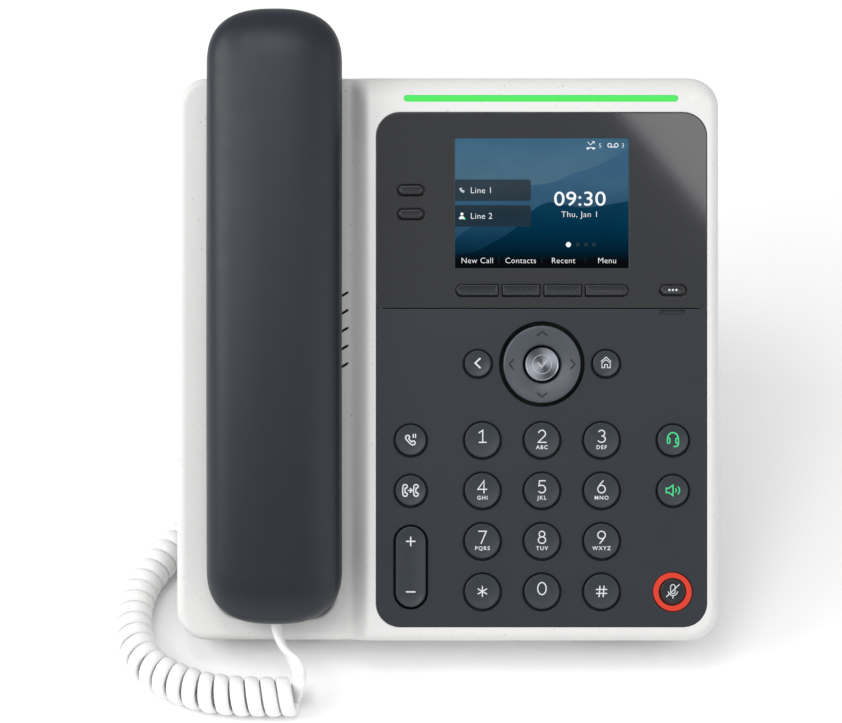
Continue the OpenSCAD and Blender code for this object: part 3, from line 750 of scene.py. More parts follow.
class Finishes:
    """Builds each finish once and hands it out."""

    def __init__(self) -> None:
        """Describe every finish of the phone."""
        select = FACE.centre("select_button")
        middle = FACE.centre("lcd_module").y
        half = 21.6
        low, high = middle - half, middle + half
        self.recipes = {
            Finish.HOUSING: FleckedPlastic((0.645, 0.64, 0.635), 0.50, 0.015, 0.12),
            Finish.KEY_PANEL: MouldedPlastic((0.013, 0.018, 0.025), 0.46, 0.08, 0.16, specular=0.38),
            Finish.LENS: MouldedPlastic((0.019, 0.020, 0.023), 0.05, 0.03, 0.0),
            Finish.KEY: MouldedPlastic((0.019, 0.025, 0.032), 0.34, 0.06, 0.06, specular=0.42),
            Finish.GLOSS_KEY: MouldedPlastic((0.009, 0.010, 0.013), 0.22, 0.04, 0.02),
            Finish.NAV: MouldedPlastic((0.052, 0.060, 0.073), 0.28, 0.05, 0.04),
            Finish.SPUN: SpunMetal((0.30, 0.32, 0.36), FACE.row(*select)),
            Finish.HANDSET: MouldedPlastic((0.008, 0.0115, 0.0185), 0.40, 0.05, 0.08, specular=0.36),
            Finish.CORD: MouldedPlastic((0.82, 0.815, 0.81), 0.38, 0.02, 0.05, 1400.0),
            Finish.PLUG: ClearPlastic(),
            Finish.GOLD: PlatedMetal((0.85, 0.62, 0.25)),
            Finish.CALL_LIGHT: Glow((0.10, 0.84, 0.14)),
            Finish.MUTE_LIGHT: Glow((0.74, 0.065, 0.040)),
            Finish.MAT: MouldedPlastic((0.012, 0.012, 0.014), 0.7),
            Finish.FEET: MouldedPlastic((0.035, 0.035, 0.037), 0.75, 0.1, 0.3, 1800.0),
            Finish.DARK: MouldedPlastic((0.016, 0.016, 0.018), 0.45),
            Finish.BOARD: SolderMask(),
            Finish.SHIELD: PlatedMetal((0.62, 0.63, 0.65)),
            Finish.STEEL: PlatedMetal((0.56, 0.56, 0.58), 0.26),
            Finish.LEGEND: MouldedPlastic((0.60, 0.62, 0.65), 0.5),
            Finish.GREEN_LEGEND: Glow((0.10, 0.85, 0.35), 0.85),
            Finish.DIM_LEGEND: MouldedPlastic((0.018, 0.020, 0.025), 0.4, specular=0.2),
            Finish.SKY: GlowRamp(low, high, (
                (0.0, (0.010, 0.060, 0.120)), (0.3, (0.024, 0.092, 0.170)), (0.6, (0.070, 0.150, 0.218)),
                (0.9, (0.056, 0.142, 0.226)), (1.0, (0.043, 0.122, 0.200)))),
            Finish.RIDGE_FAR: GlowRamp(low, high, (
                (0.0, (0.004, 0.040, 0.085)), (0.45, (0.032, 0.095, 0.170)), (0.786, (0.045, 0.122, 0.212)))),
            Finish.RIDGE_MID: GlowRamp(low, high, (
                (0.05, (0.001, 0.014, 0.030)), (0.21, (0.005, 0.041, 0.084)), (0.63, (0.041, 0.114, 0.191)))),
            Finish.RIDGE_NEAR: GlowRamp(low, high, (
                (0.03, (0.0026, 0.0030, 0.0040)), (0.11, (0.0003, 0.0137, 0.0296)),
                (0.18, (0.0003, 0.0200, 0.0440)), (0.29, (0.0004, 0.0296, 0.0648)),
                (0.62, (0.0060, 0.0520, 0.1050)))),
            Finish.SCREEN_INK: Glow((0.88, 0.92, 0.95), 1.0, 0.0),
            Finish.SCREEN_BOX: GlowRamp(low, high, (
                (0.4, (0.016, 0.033, 0.050)), (0.6, (0.032, 0.050, 0.065)))),
            Finish.SCREEN_DIM: Glow((0.016, 0.040, 0.055)),
            Finish.BRIGHT: PlatedMetal((0.80, 0.82, 0.86), 0.2),
            Finish.FLOOR: MouldedPlastic((0.97, 0.97, 0.97), 0.7, 0.004, 0.02, 300.0),
        }
        self.made: dict[Finish, Material] = {}

    def __getitem__(self, finish: Finish) -> Material:
        """Return a finish's material, made on first use."""
        if finish not in self.made:
            self.made[finish] = self.recipes[finish].build(finish.value)
        return self.made[finish]


FINISHES = Finishes()


# ---------------------------------------------------------------- stage


@dataclass(frozen=True)
class Lamp:
    """One soft lamp, placed over the face in millimetres."""

    name: str
    place: Point3
    size: Point2
    watts: float
    towards: Point3 = (0.0, 90.0, 25.0)
    roll_deg: float = 0.0


@dataclass(frozen=True)
class Stage:
    """The floor, the studio lights and the camera square to the phone's face."""

    distance: float = 1.12
    aim: Point3 = (-8.7, 92.7, 27.0)
    width: float = 0.2787
    sensor_mm: float = 36.0
    room: float = 0.62
    floor_half: float = 4000.0
    lamps: tuple[Lamp, ...] = (
        Lamp("left_window", (-1080.0, 450.0, 680.0), (0.9, 0.9), 10.0),
        Lamp("front_left", (-460.0, 330.0, 1120.0), (0.5, 0.5), 2.0),
        Lamp("overhead", (-160.0, 760.0, 1020.0), (0.6, 0.32), 3.0),
        Lamp("right_fill", (950.0, 60.0, 760.0), (1.2, 1.2), 3.6),
        Lamp("card", (208.9, 273.5, 1147.0), (0.15, 0.15), 0.24, (208.9, 273.5, 0.0), 40.0),
    )

    def camera(self) -> None:
        """Put a long-lens camera straight over the face."""
        lens = bpy.data.cameras.new("camera")
        lens.sensor_width = self.sensor_mm
        lens.lens = self.sensor_mm * self.distance / self.width
        lens.clip_start = 0.05
        lens.clip_end = 20.0
        camera = linked("camera", lens)
        camera.rotation_euler = (FACE.tilt, 0.0, 0.0)
        camera.location = FACE.row(self.aim[0], self.aim[1], self.aim[2] + self.distance / MM)
        bpy.context.scene.camera = camera

    def floor(self) -> None:
        """Lay a pale floor under the phone."""
        form = Form()
        for x, y in ((-1, -1), (1, -1), (1, 1), (-1, 1)):
            form.add(x * self.floor_half, y * self.floor_half, 0.0)
        form.face((0, 1, 2, 3))
        form.piece("floor", Finish.FLOOR, place=Matrix.Scale(MM, 4))

    def lights(self) -> None:
        """Hang large soft lamps round the phone over an even room light."""
        scene = bpy.context.scene
        scene.view_settings.view_transform = "Standard"
        world = bpy.data.worlds.new("studio")
        world.use_nodes = True
        sky = world.node_tree.nodes["Background"].inputs
        sky["Color"].default_value = (1.0, 1.0, 1.0, 1.0)
        sky["Strength"].default_value = self.room
        scene.world = world
        for lamp in self.lamps:
            data = bpy.data.lights.new(lamp.name, "AREA")
            data.shape = "RECTANGLE"
            data.size, data.size_y = lamp.size
            data.energy = lamp.watts
            holder = linked(lamp.name, data)
            holder.location = FACE.row(*lamp.place)
            way = (FACE.row(*lamp.towards) - holder.location).to_track_quat("-Z", "Y")
            roll = Quaternion((0.0, 0.0, 1.0), math.radians(lamp.roll_deg))
            holder.rotation_euler = (way @ roll).to_euler()


# ---------------------------------------------------------------- cord


@dataclass
class CurlyCord:
    """The handset's curly cord: a flat oval lead wound into a coil, with two plain ends.

    The routes are the part's own, in millimetres: a coil lying on the desk from under the
    handset round the housing's left side, and an end that rises to each plug.
    """

    wide: float = 4.7
    thick: float = 2.7
    outer_d: float = 13.4
    pitch: float = 5.15
    per_turn: int = 22
    sides: int = 14
    start_deg: float = -60.0
    coil: Sequence[Point3] = (
        (-51, -94.6, 6.8), (-61, -94.7, 6.8), (-71, -94.2, 6.8), (-80, -92.6, 6.8), (-88.5, -89.2, 6.8),
        (-95.5, -84.6, 6.8), (-100.5, -79.5, 6.8), (-104.3, -72, 6.8), (-106.1, -63.5, 6.8),
        (-106.2, -54, 6.8), (-104.7, -45, 6.8), (-101.2, -36.5, 6.8), (-95.5, -26.5, 6.8),
        (-88.5, -17, 6.8), (-80.5, -8, 6.8), (-73, 2, 6.8), (-68, 13, 6.8), (-66, 25, 6.8))
    to_handset: Sequence[Point3] = (
        (-49.2, -93.4, 11.2), (-49.0, -89.6, 12.4), (-50.2, -86.6, 14.2), (-52.4, -84.2, 15.9),
        (-54.8, -81.6, 18.3), (-56.4, -78.5, 21.4), (-57, -75.2, 25.1))
    to_base: Sequence[Point3] = (
        (-66, 30.5, 5.2), (-66, 34.5, 10), (-66, 35.5, 17), (-66, 32.5, 23), (-66, 26.5, 29),
        (-66, 18.5, 35), (-66, 9.5, 41), (-66, 2.5, 47), (-66, -2.2, 53.5), (-66, -3, 59.5),
        (-66, -0.6, 65.4), (-66, 3.1, 69.5))

    def axis(self) -> list[Vector]:
        """Return the coil's axis at even, short steps."""
        rough = smooth_line([Vector(p) for p in self.coil], 24)
        total = sum((b - a).length for a, b in zip(rough, rough[1:]))
        steps = round(total / self.pitch) * self.per_turn
        out = [rough[0]]
        walked, goal, step = 0.0, total / steps, total / steps
        for a, b in zip(rough, rough[1:]):
            span = (b - a).length
            while walked + span >= goal - 1e-9 and len(out) < steps:
                out.append(a.lerp(b, (goal - walked) / span))
                goal += step
            walked += span
        out.append(rough[-1])
        return out

    def helix(self) -> tuple[list[Vector], list[Vector]]:
        """Wind the lead round the axis.

        Returns:
            The lead's centre points, and the direction of its flat side at each.
        """
        axis = self.axis()
        radius = (self.outer_d - self.thick) / 2
        points, flats = [], []
        last = len(axis) - 1
        for i, p in enumerate(axis):
            ahead = (axis[min(i + 1, last)] - axis[max(i - 1, 0)]).normalized()
            side = ahead.cross(Vector((0.0, 0.0, 1.0))).normalized()
            angle = math.radians(self.start_deg) - 2 * math.pi * i / self.per_turn
            out = math.cos(angle) * side + math.sin(angle) * Vector((0.0, 0.0, 1.0))
            points.append(p + radius * out)
            flats.append(out)
        return points, flats

    def build(self) -> None:
        helix, flats = self.helix()
        head = smooth_line([helix[0], *[Vector(p) for p in self.to_handset]], 5)[1:]
        tail = smooth_line([helix[-1], *[Vector(p) for p in self.to_base]], 5)[1:]
        route = [*reversed(head), *helix, *tail]
        outs = self.carry(flats[0], [helix[0], *head], Vector((0.9, -0.3, 0.3)))
        ends = self.carry(flats[-1], [helix[-1], *tail], Vector((0.0, 1.0, -0.6)))
        normals = [*reversed(outs), *flats, *ends]
        form = Form()
        rings = []
        for i, p in enumerate(route):
            ahead = (route[min(i + 1, len(route) - 1)] - route[max(i - 1, 0)]).normalized()
            thin = (normals[i] - normals[i].dot(ahead) * ahead).normalized()
            broad = ahead.cross(thin)
            ring = []
            for k in range(self.sides):
                a = 2 * math.pi * k / self.sides
                c, s = math.cos(a), math.sin(a)
                lift = math.copysign(abs(s) ** 0.72, s) * self.thick / 2
                reach = math.copysign(abs(c) ** 0.9, c) * self.wide / 2
                ring.append(form.add(*(p + reach * broad + lift * thin)))
            rings.append(ring)
        form.skin(rings)
        form.lid(rings[0], up=False)
        form.lid(rings[-1])
        cord = form.piece("curly_cord", Finish.CORD, place=Matrix.Scale(MM, 4), smooth_deg=60.0)
        mend_normals(cord.data)
        length = sum((b - a).length for a, b in zip(route, route[1:])) * MM
        LOG.info("curly cord: %.3f m of lead, %d turns", length, (len(helix) - 1) // self.per_turn)
        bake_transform(cord)
        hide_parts("cord_coil", "cord_tail_base", "cord_tail_handset")
        tuple(route[0] * MM)
        [p * MM for p in route]

    def carry(self, start: Vector, line: Sequence[Vector], goal: Vector) -> list[Vector]:
        """Turn the lead's flat side evenly from the coil to a plug.

        Args:
            start: The flat side's direction at the coil.
            line: The points from the coil to the plug.
            goal: Its direction at the plug.

        Returns:
            One direction for each point after the first.
        """
        shares = [k / (len(line) - 1) for k in range(1, len(line))]
        return [start.lerp(goal.normalized(), t * t * (3 - 2 * t)).normalized() for t in shares]


# ---------------------------------------------------------------- housings


@dataclass
class FrontHousing:
    """The front housing: a low cradle on the left, a raised rim round the dark panels.

    Its front is one surface, a height over the face, so the rolled edges run round the corners.
    """

    width: float = 180.0
    height: float = 187.0
    corner: float = 10.0
    low: float = 13.2
    cradle: float = 21.0
    rim: float = 27.5
    wall: float = 2.2
    pocket_low: float = 25.3
    ledge_low: float = 23.3
    ramp: Point2 = (-32.9, -24.9)
    well_low: float = 15.4
    well_top_r: float = 1.2
    slot_size: Point2 = (7.4, 0.8)
    slot_turn: float = 32.0
    slot_pitch: Point2 = (10.5, 5.9)
    slot_reach: float = 24.2
    speaker: Point2 = (-57.0, 102.1)
    hook: Point2 = (-57.0, 23.0)
    bar: Point2 = (90.9, 2.3)
    hook_r: float = 3.4
    body: Outline = field(init=False)
    pocket: Outline = field(init=False)
    wells: tuple[Outline, ...] = field(init=False)

    def __post_init__(self) -> None:
        """Set the outlines."""
        self.body = Outline.rect(0.0, self.height / 2, self.width, self.height, self.corner, 14)
        self.pocket = Outline.rect(31.2, 90.0, 109.6, 170.4, 8.0, 14)
        self.wells = (Outline.rect(-57.0, 178.0, 39.4, 44.0, 8.0, 10),
                      Outline.rect(-57.0, 26.25, 39.4, 37.5, 8.0, 10))

    def rolled(self, x: float, y: float) -> float:
        """Return how far the front drops towards the nearest outer edge."""
        d = self.body.depth(x, y)
        if d > 11.0:
            return 0.0
        step = 0.05
        gx = (self.body.depth(x + step, y) - self.body.depth(x - step, y)) / (2 * step)
        gy = (self.body.depth(x, y + step) - self.body.depth(x, y - step)) / (2 * step)
        raised = self.raised(x)
        top = max(-gy, 0.0) ** 2 * raised
        bottom = max(gy, 0.0) ** 2
        side = gx * gx
        plain = max(-gy, 0.0) ** 2 * (1 - raised)
        total = top + bottom + side + plain
        left = gx > 0
        wide = (10.4 * top + 3.1 * bottom + (3.2 if left else 3.0) * side + 2.6 * plain) / total
        drop = (7.2 * top + (2.2 + 2.6 * raised) * bottom + (2.6 if left else 4.4) * side
                + 2.0 * plain) / total
        t = clamp(d / wide)
        return drop * (1 - math.sqrt(max(0.0, 1 - (1 - t) ** 2)))

    def raised(self, x: float) -> float:
        """Return 0 on the cradle and 1 on the rim, with a rounded slope between."""
        t = clamp((x - self.ramp[0]) / (self.ramp[1] - self.ramp[0]))
        return t * t * t * (t * (6 * t - 15) + 10)

    def skin(self, x: float, y: float) -> float:
        """Return the front's level with no opening in it."""
        return self.cradle + (self.rim - self.cradle) * self.raised(x) - self.rolled(x, y)

    def front(self, x: float, y: float) -> float:
        """Return the front's level at a point."""
        level = self.skin(x, y)
        inside = self.pocket.depth(x, y)
        if inside > 0.0:
            return self.pocket_low
        if inside > -0.5:
            level -= 0.5 - math.sqrt(max(0.0, 0.25 - (0.5 + inside) ** 2))
        for well in self.wells:
            depth = well.depth(x, y)
            if depth > 0.0:
                return self.well_low
            if depth > -self.well_top_r:
                r = self.well_top_r
                level -= r - math.sqrt(max(0.0, r * r - (r + depth) ** 2))
        return level

    def back(self, x: float, y: float) -> float:
        """Return the level of the shell's inside at a point."""
        if self.body.depth(x, y) < self.wall:
            return self.low
        for well in self.wells:
            if well.depth(x, y) > -self.wall:
                return self.low
        if self.pocket.depth(x, y) > -self.wall:
            return self.ledge_low
        return min(self.skin(x, y) - self.wall, self.ledge_low)

    def slots(self) -> list[list[Point2]]:
        """Return the loudspeaker's slots, short dashes that rise to the right."""
        pill = Outline.pill(0.0, 0.0, *self.slot_size, 3).loop()
        spots = [(i * self.slot_pitch[0], k * self.slot_pitch[1]) for i in range(-1, 3) for k in range(-4, 5)]
        return [turned(pill, self.slot_turn, self.speaker[0] + dx, self.speaker[1] + dy) for dx, dy in spots
                if math.hypot(dx, dy) < self.slot_reach]

    def guides(self) -> tuple[list[list[Point2]], list[list[Point2]], list[list[Point2]]]:
        """Return the closed guide loops, the open guide lines and the through holes."""
        near = 0.02
        rolls = (0, 0.12, 0.35, 0.7, 1.15, 1.7, 2.2, 2.22, 2.6, 3.2, 4.4, 5.8, 7.6, 10.4)
        loops = [self.body.loop(d) for d in rolls]
        loops += [self.pocket.loop(d) for d in (near, 0, -0.06, -0.15, -0.3, -0.5, -1.2, -2.2, -2.22)]
        for well in self.wells:
            loops += [well.loop(d) for d in (near, 0, -0.08, -0.25, -0.5, -0.85, -1.2, -1.6, -2.2, -2.22)]
        slope = [self.ramp[0] + (self.ramp[1] - self.ramp[0]) * k / 16 for k in range(17)]
        lines = [[(x, -3.0 + 193.0 * j / 48) for j in range(49)]
                 for x in (*slope, -88, -83, -77, -45, -37, -29, 0, 30, 60, 88.4)]
        lines += [[(-93.0 + 186.0 * j / 48, y) for j in range(49)]
                  for y in (40, 60, 80, 100, 120, 150, 177, 179, 183)]
        bar_y = round(FACE.centre("light_bar").y, 1)
        holes = [self.pocket.loop(self.wall), *self.slots(), Outline.disc(*self.hook, self.hook_r, 8).loop(),
                 Outline.pill(31.0, bar_y, *self.bar, 8).loop()]
        return loops, lines, holes

    def build(self) -> None:
        """Make the housing as a closed shell."""
        loops, lines, holes = self.guides()
        flat: list[Vector] = []
        edges: list[tuple[int, int]] = []
        for loop in [*loops, *holes]:
            start = len(flat)
            flat += [Vector(p) for p in loop]
            edges += [(start + i, start + (i + 1) % len(loop)) for i in range(len(loop))]
        for line in lines:
            start = len(flat)
            flat += [Vector(p) for p in line]
            edges += [(start + i, start + i + 1) for i in range(len(line) - 1)]
        spots, _, tris, *_ = delaunay_2d_cdt(flat, edges, [], 0, 1e-4)
        boxes = [(min(p[0] for p in h), min(p[1] for p in h), max(p[0] for p in h), max(p[1] for p in h))
                 for h in holes]
        kept = []
        for a, b, c in tris:
            x = (spots[a].x + spots[b].x + spots[c].x) / 3
            y = (spots[a].y + spots[b].y + spots[c].y) / 3
            if self.body.depth(x, y) < 1e-4:
                continue
            if any(lo_x < x < hi_x and lo_y < y < hi_y and encloses(hole, x, y)
                   for hole, (lo_x, lo_y, hi_x, hi_y) in zip(holes, boxes)):
                continue
            kept.append((a, b, c))
        form = Form()
        tops: dict[int, int] = {}
        backs: dict[int, int] = {}
        for i in sorted({i for tri in kept for i in tri}):
            px, py = spots[i]
            tops[i] = form.add(px, py, self.front(px, py))
            backs[i] = form.add(px, py, self.back(px, py))
        for tri in kept:
            form.face([tops[i] for i in tri])
        for tri in kept:
            form.face([backs[i] for i in reversed(tri)])
        edges_all = {edge for a, b, c in kept for edge in ((a, b), (b, c), (c, a))}
        for a, b in sorted(edge for edge in edges_all if edge[::-1] not in edges_all):
            form.face((tops[b], tops[a], backs[a], backs[b]))
        piece = form.piece("front_shell", Finish.HOUSING, smooth_deg=32.0)
        self.shade(piece, len(kept))
        stand_in_for(piece, "base", "housing", "front_housing")

    def shade(self, piece: Object, fronts: int) -> None:
        """Give the front's faces the exact slope of its surface.

        Args:
            piece: The housing.
            fronts: How many of its faces lie on the front.
        """
        mesh = piece.data
        turn = FACE.matrix().to_3x3().normalized()
        back_turn = FACE.matrix().inverted()
        normals = [Vector(n.vector) for n in mesh.corner_normals]
        step = 0.04
        for poly in list(mesh.polygons)[:fronts]:
            own = turn.inverted() @ poly.normal
            if own.z < 0.3:
                continue
            middle = back_turn @ poly.center
            for corner in poly.loop_indices:
                p = back_turn @ mesh.vertices[mesh.loops[corner].vertex_index].co
                q = p.lerp(middle, 0.12)
                dx = (self.front(q.x + step, q.y) - self.front(q.x - step, q.y)) / (2 * step)
                dy = (self.front(q.x, q.y + step) - self.front(q.x, q.y - step)) / (2 * step)
                n = Vector((-dx, -dy, 1.0)).normalized()
                if n.dot(own) > 0.9:
                    normals[corner] = turn @ n
        mesh.normals_split_custom_set(normals)


def encloses(loop: Sequence[Point2], x: float, y: float) -> bool:
    """Say whether a closed loop goes round a point."""
    inside = False
    for (ax, ay), (bx, by) in zip(loop, [*loop[1:], loop[0]]):
        if (ay > y) != (by > y) and x < (bx - ax) * (y - ay) / (by - ay) + ax:
            inside = not inside
    return inside


# ---------------------------------------------------------------- node trees that repeat and turn shapes


class ShapeTree:
    """A geometry node tree that takes a shape in and ends realized, in one finish."""

    def __init__(self, name: str, **sockets: str) -> None:
        """Start the tree.

        Args:
            name: Its name.
            sockets: Its named inputs and what kind each one is.
        """
        self.group = bpy.data.node_groups.new(name, "GeometryNodeTree")
        for label, kind in {"Geometry": "Geometry", **sockets, "Finish": "Material"}.items():
            self.group.interface.new_socket(label, in_out="INPUT", socket_type=f"NodeSocket{kind}")
        self.group.interface.new_socket("Geometry", in_out="OUTPUT", socket_type="NodeSocketGeometry")
        self.given = self.group.nodes.new("NodeGroupInput").outputs

    def add(self, kind: str, **values: object) -> Node:
        """Add a node.

        Args:
            kind: Its type; without a prefix it is a geometry node.
            values: What its inputs hold, each named with underscores for spaces; a socket is linked.

        Returns:
            The node.
        """
        node = self.group.nodes.new(kind if kind.startswith("ShaderNode") else f"GeometryNode{kind}")
        for name, value in values.items():
            self.put(node.inputs[name.replace("_", " ")], value)
        return node

    def put(self, socket: NodeSocket, value: object) -> None:
        """Link a socket to another one, or set it."""
        if isinstance(value, NodeSocket):
            self.group.links.new(value, socket)
        else:
            socket.default_value = value

    def math(self, operation: str, a: object, b: object) -> NodeSocket:
        """Return the result of a sum or a product of two values."""
        node = self.add("ShaderNodeMath")
        node.operation = operation
        self.put(node.inputs[0], a)
        self.put(node.inputs[1], b)
        return node.outputs[0]

    def finish(self, shape: NodeSocket) -> GeometryNodeTree:
        """Realize the shape, give it its finish and return the tree."""
        real = self.add("RealizeInstances", Geometry=shape)
        paint = self.add("SetMaterial", Geometry=real.outputs[0], Material=self.given["Finish"])
        out = self.group.nodes.new("NodeGroupOutput")
        self.put(out.inputs["Geometry"], paint.outputs[0])
        return self.group


class Layout(Enum):
    """How a repeated shape is laid out."""

    ROW = "row"
    RING = "ring"


@dataclass(frozen=True)
class Pattern:
    """A node tree that repeats one shape in a row or round a ring, realized with one finish."""

    layout: Layout
    count: int
    pitch: float = 0.0
    radius: float = 0.0

    def tree(self) -> GeometryNodeTree:
        """Build the tree with its named inputs."""
        tree = ShapeTree(f"repeat_{self.layout.value}", Count="Int", Pitch="Vector", Radius="Float")
        given = tree.given
        if self.layout is Layout.ROW:
            line = tree.add("MeshLine", Count=given["Count"], Offset=given["Pitch"])
            place = tree.add("InstanceOnPoints", Points=line.outputs["Mesh"], Instance=given["Geometry"])
        else:
            ring = tree.add("MeshCircle", Vertices=given["Count"], Radius=given["Radius"])
            step = tree.math("DIVIDE", 2 * math.pi, given["Count"])
            angle = tree.math("MULTIPLY", tree.add("InputIndex").outputs["Index"], step)
            turn = tree.add("ShaderNodeCombineXYZ", Z=angle)
            place = tree.add("InstanceOnPoints", Points=ring.outputs["Mesh"], Instance=given["Geometry"],
                             Rotation=turn.outputs["Vector"])
        return tree.finish(place.outputs["Instances"])

    def add_to(self, form: Form, unit: Form, at: Sequence[float], slot: int, finish: Finish,
               along: Point3 = (1.0, 0.0, 0.0)) -> None:
        """Repeat a shape and add the copies to a form.

        Args:
            form: The form that takes the copies.
            unit: The shape to repeat, round its own middle.
            at: Where the row starts, or the ring's centre.
            slot: The material's index in the form.
            finish: The copies' finish.
            along: The row's direction.
        """
        made = run_tree(self.tree(), unit, {"Count": self.count, "Pitch": self.pitch * Vector(along),
                                            "Radius": self.radius, "Finish": FINISHES[finish]})
        form.absorb(made, at, slot)


@dataclass(frozen=True)
class Turning:
    """A node tree that turns a profile round an axis, as a lathe would."""

    segments: int = 64
    merge: float = 1e-4
    bore: float = 1e-6

    def tree(self) -> GeometryNodeTree:
        """Build the tree with its named inputs."""
        tree = ShapeTree("turn_profile", Segments="Int", Radius="Float")
        given = tree.given
        profile = tree.add("MeshToCurve", Mesh=given["Geometry"])
        ring = tree.add("CurvePrimitiveCircle", Resolution=given["Segments"], Radius=given["Radius"])
        sweep = tree.add("CurveToMesh", Curve=ring.outputs["Curve"], Profile_Curve=profile.outputs["Curve"])
        return tree.finish(tree.add("MergeByDistance", Geometry=sweep.outputs["Mesh"],
                                    Distance=self.merge).outputs["Geometry"])

    def add_to(self, form: Form, profile: Sequence[Point2], at: Sequence[float], finish: Finish,
               closed: bool = False) -> None:
        """Turn a profile and add the result to a form.

        Args:
            form: The form that takes it.
            profile: Pairs of radius and level, from the bottom outwards and up.
            at: The axis's foot.
            finish: The finish.
            closed: Whether the profile closes on itself, as a ring's does.
        """
        outline = Form()
        spots = [outline.add(r, -w, 0.0) for r, w in profile]
        outline.edges = list(zip(spots, spots[1:])) + ([(spots[-1], spots[0])] if closed else [])
        made = run_tree(self.tree(), outline, {"Segments": self.segments, "Radius": self.bore,
                                               "Finish": FINISHES[finish]})
        form.absorb(made, at, 0, mend=True)


def run_tree(tree: GeometryNodeTree, unit: Form, values: dict[str, object]) -> Mesh:
    """Run a node tree on a form and return the plain mesh.

    Args:
        tree: The tree.
        unit: The form that goes in.
        values: The named inputs' values.

    Returns:
        The finished mesh, in the form's own millimetres.
    """
    mesh = bpy.data.meshes.new("unit")
    mesh.from_pydata(unit.points, unit.edges, unit.faces)
    holder = linked("unit", mesh)
    modifier = holder.modifiers.new("nodes", "NODES")
    modifier.node_group = tree
    for item in tree.interface.items_tree:
        if item.in_out == "INPUT" and item.name in values:
            modifier[item.identifier] = values[item.name]
    holder.update_tag()
    made = baked(holder)
    drop(holder)
    bpy.data.node_groups.remove(tree)
    return made


# ---------------------------------------------------------------- printed marks


def flat(level: float) -> Level:
    """Return a surface of one level."""
    return lambda x, y: level


def arc(x: float, y: float, rx: float, ry: float, start: float, end: float, steps: int = 14) -> list[Point2]:
    """Return points on an ellipse from one angle to another, in degrees."""
    turns = [math.radians(start + (end - start) * k / steps) for k in range(steps + 1)]
    return [(x + rx * math.cos(a), y + ry * math.sin(a)) for a in turns]


def turned(points: Iterable[Point2], turn_deg: float, x: float, y: float, size: float = 1.0) -> list[Point2]:
    """Return points turned round their origin, scaled and then moved."""
    a = math.radians(turn_deg)
    c, s = math.cos(a), math.sin(a)
    return [(x + size * (px * c - py * s), y + size * (px * s + py * c)) for px, py in points]


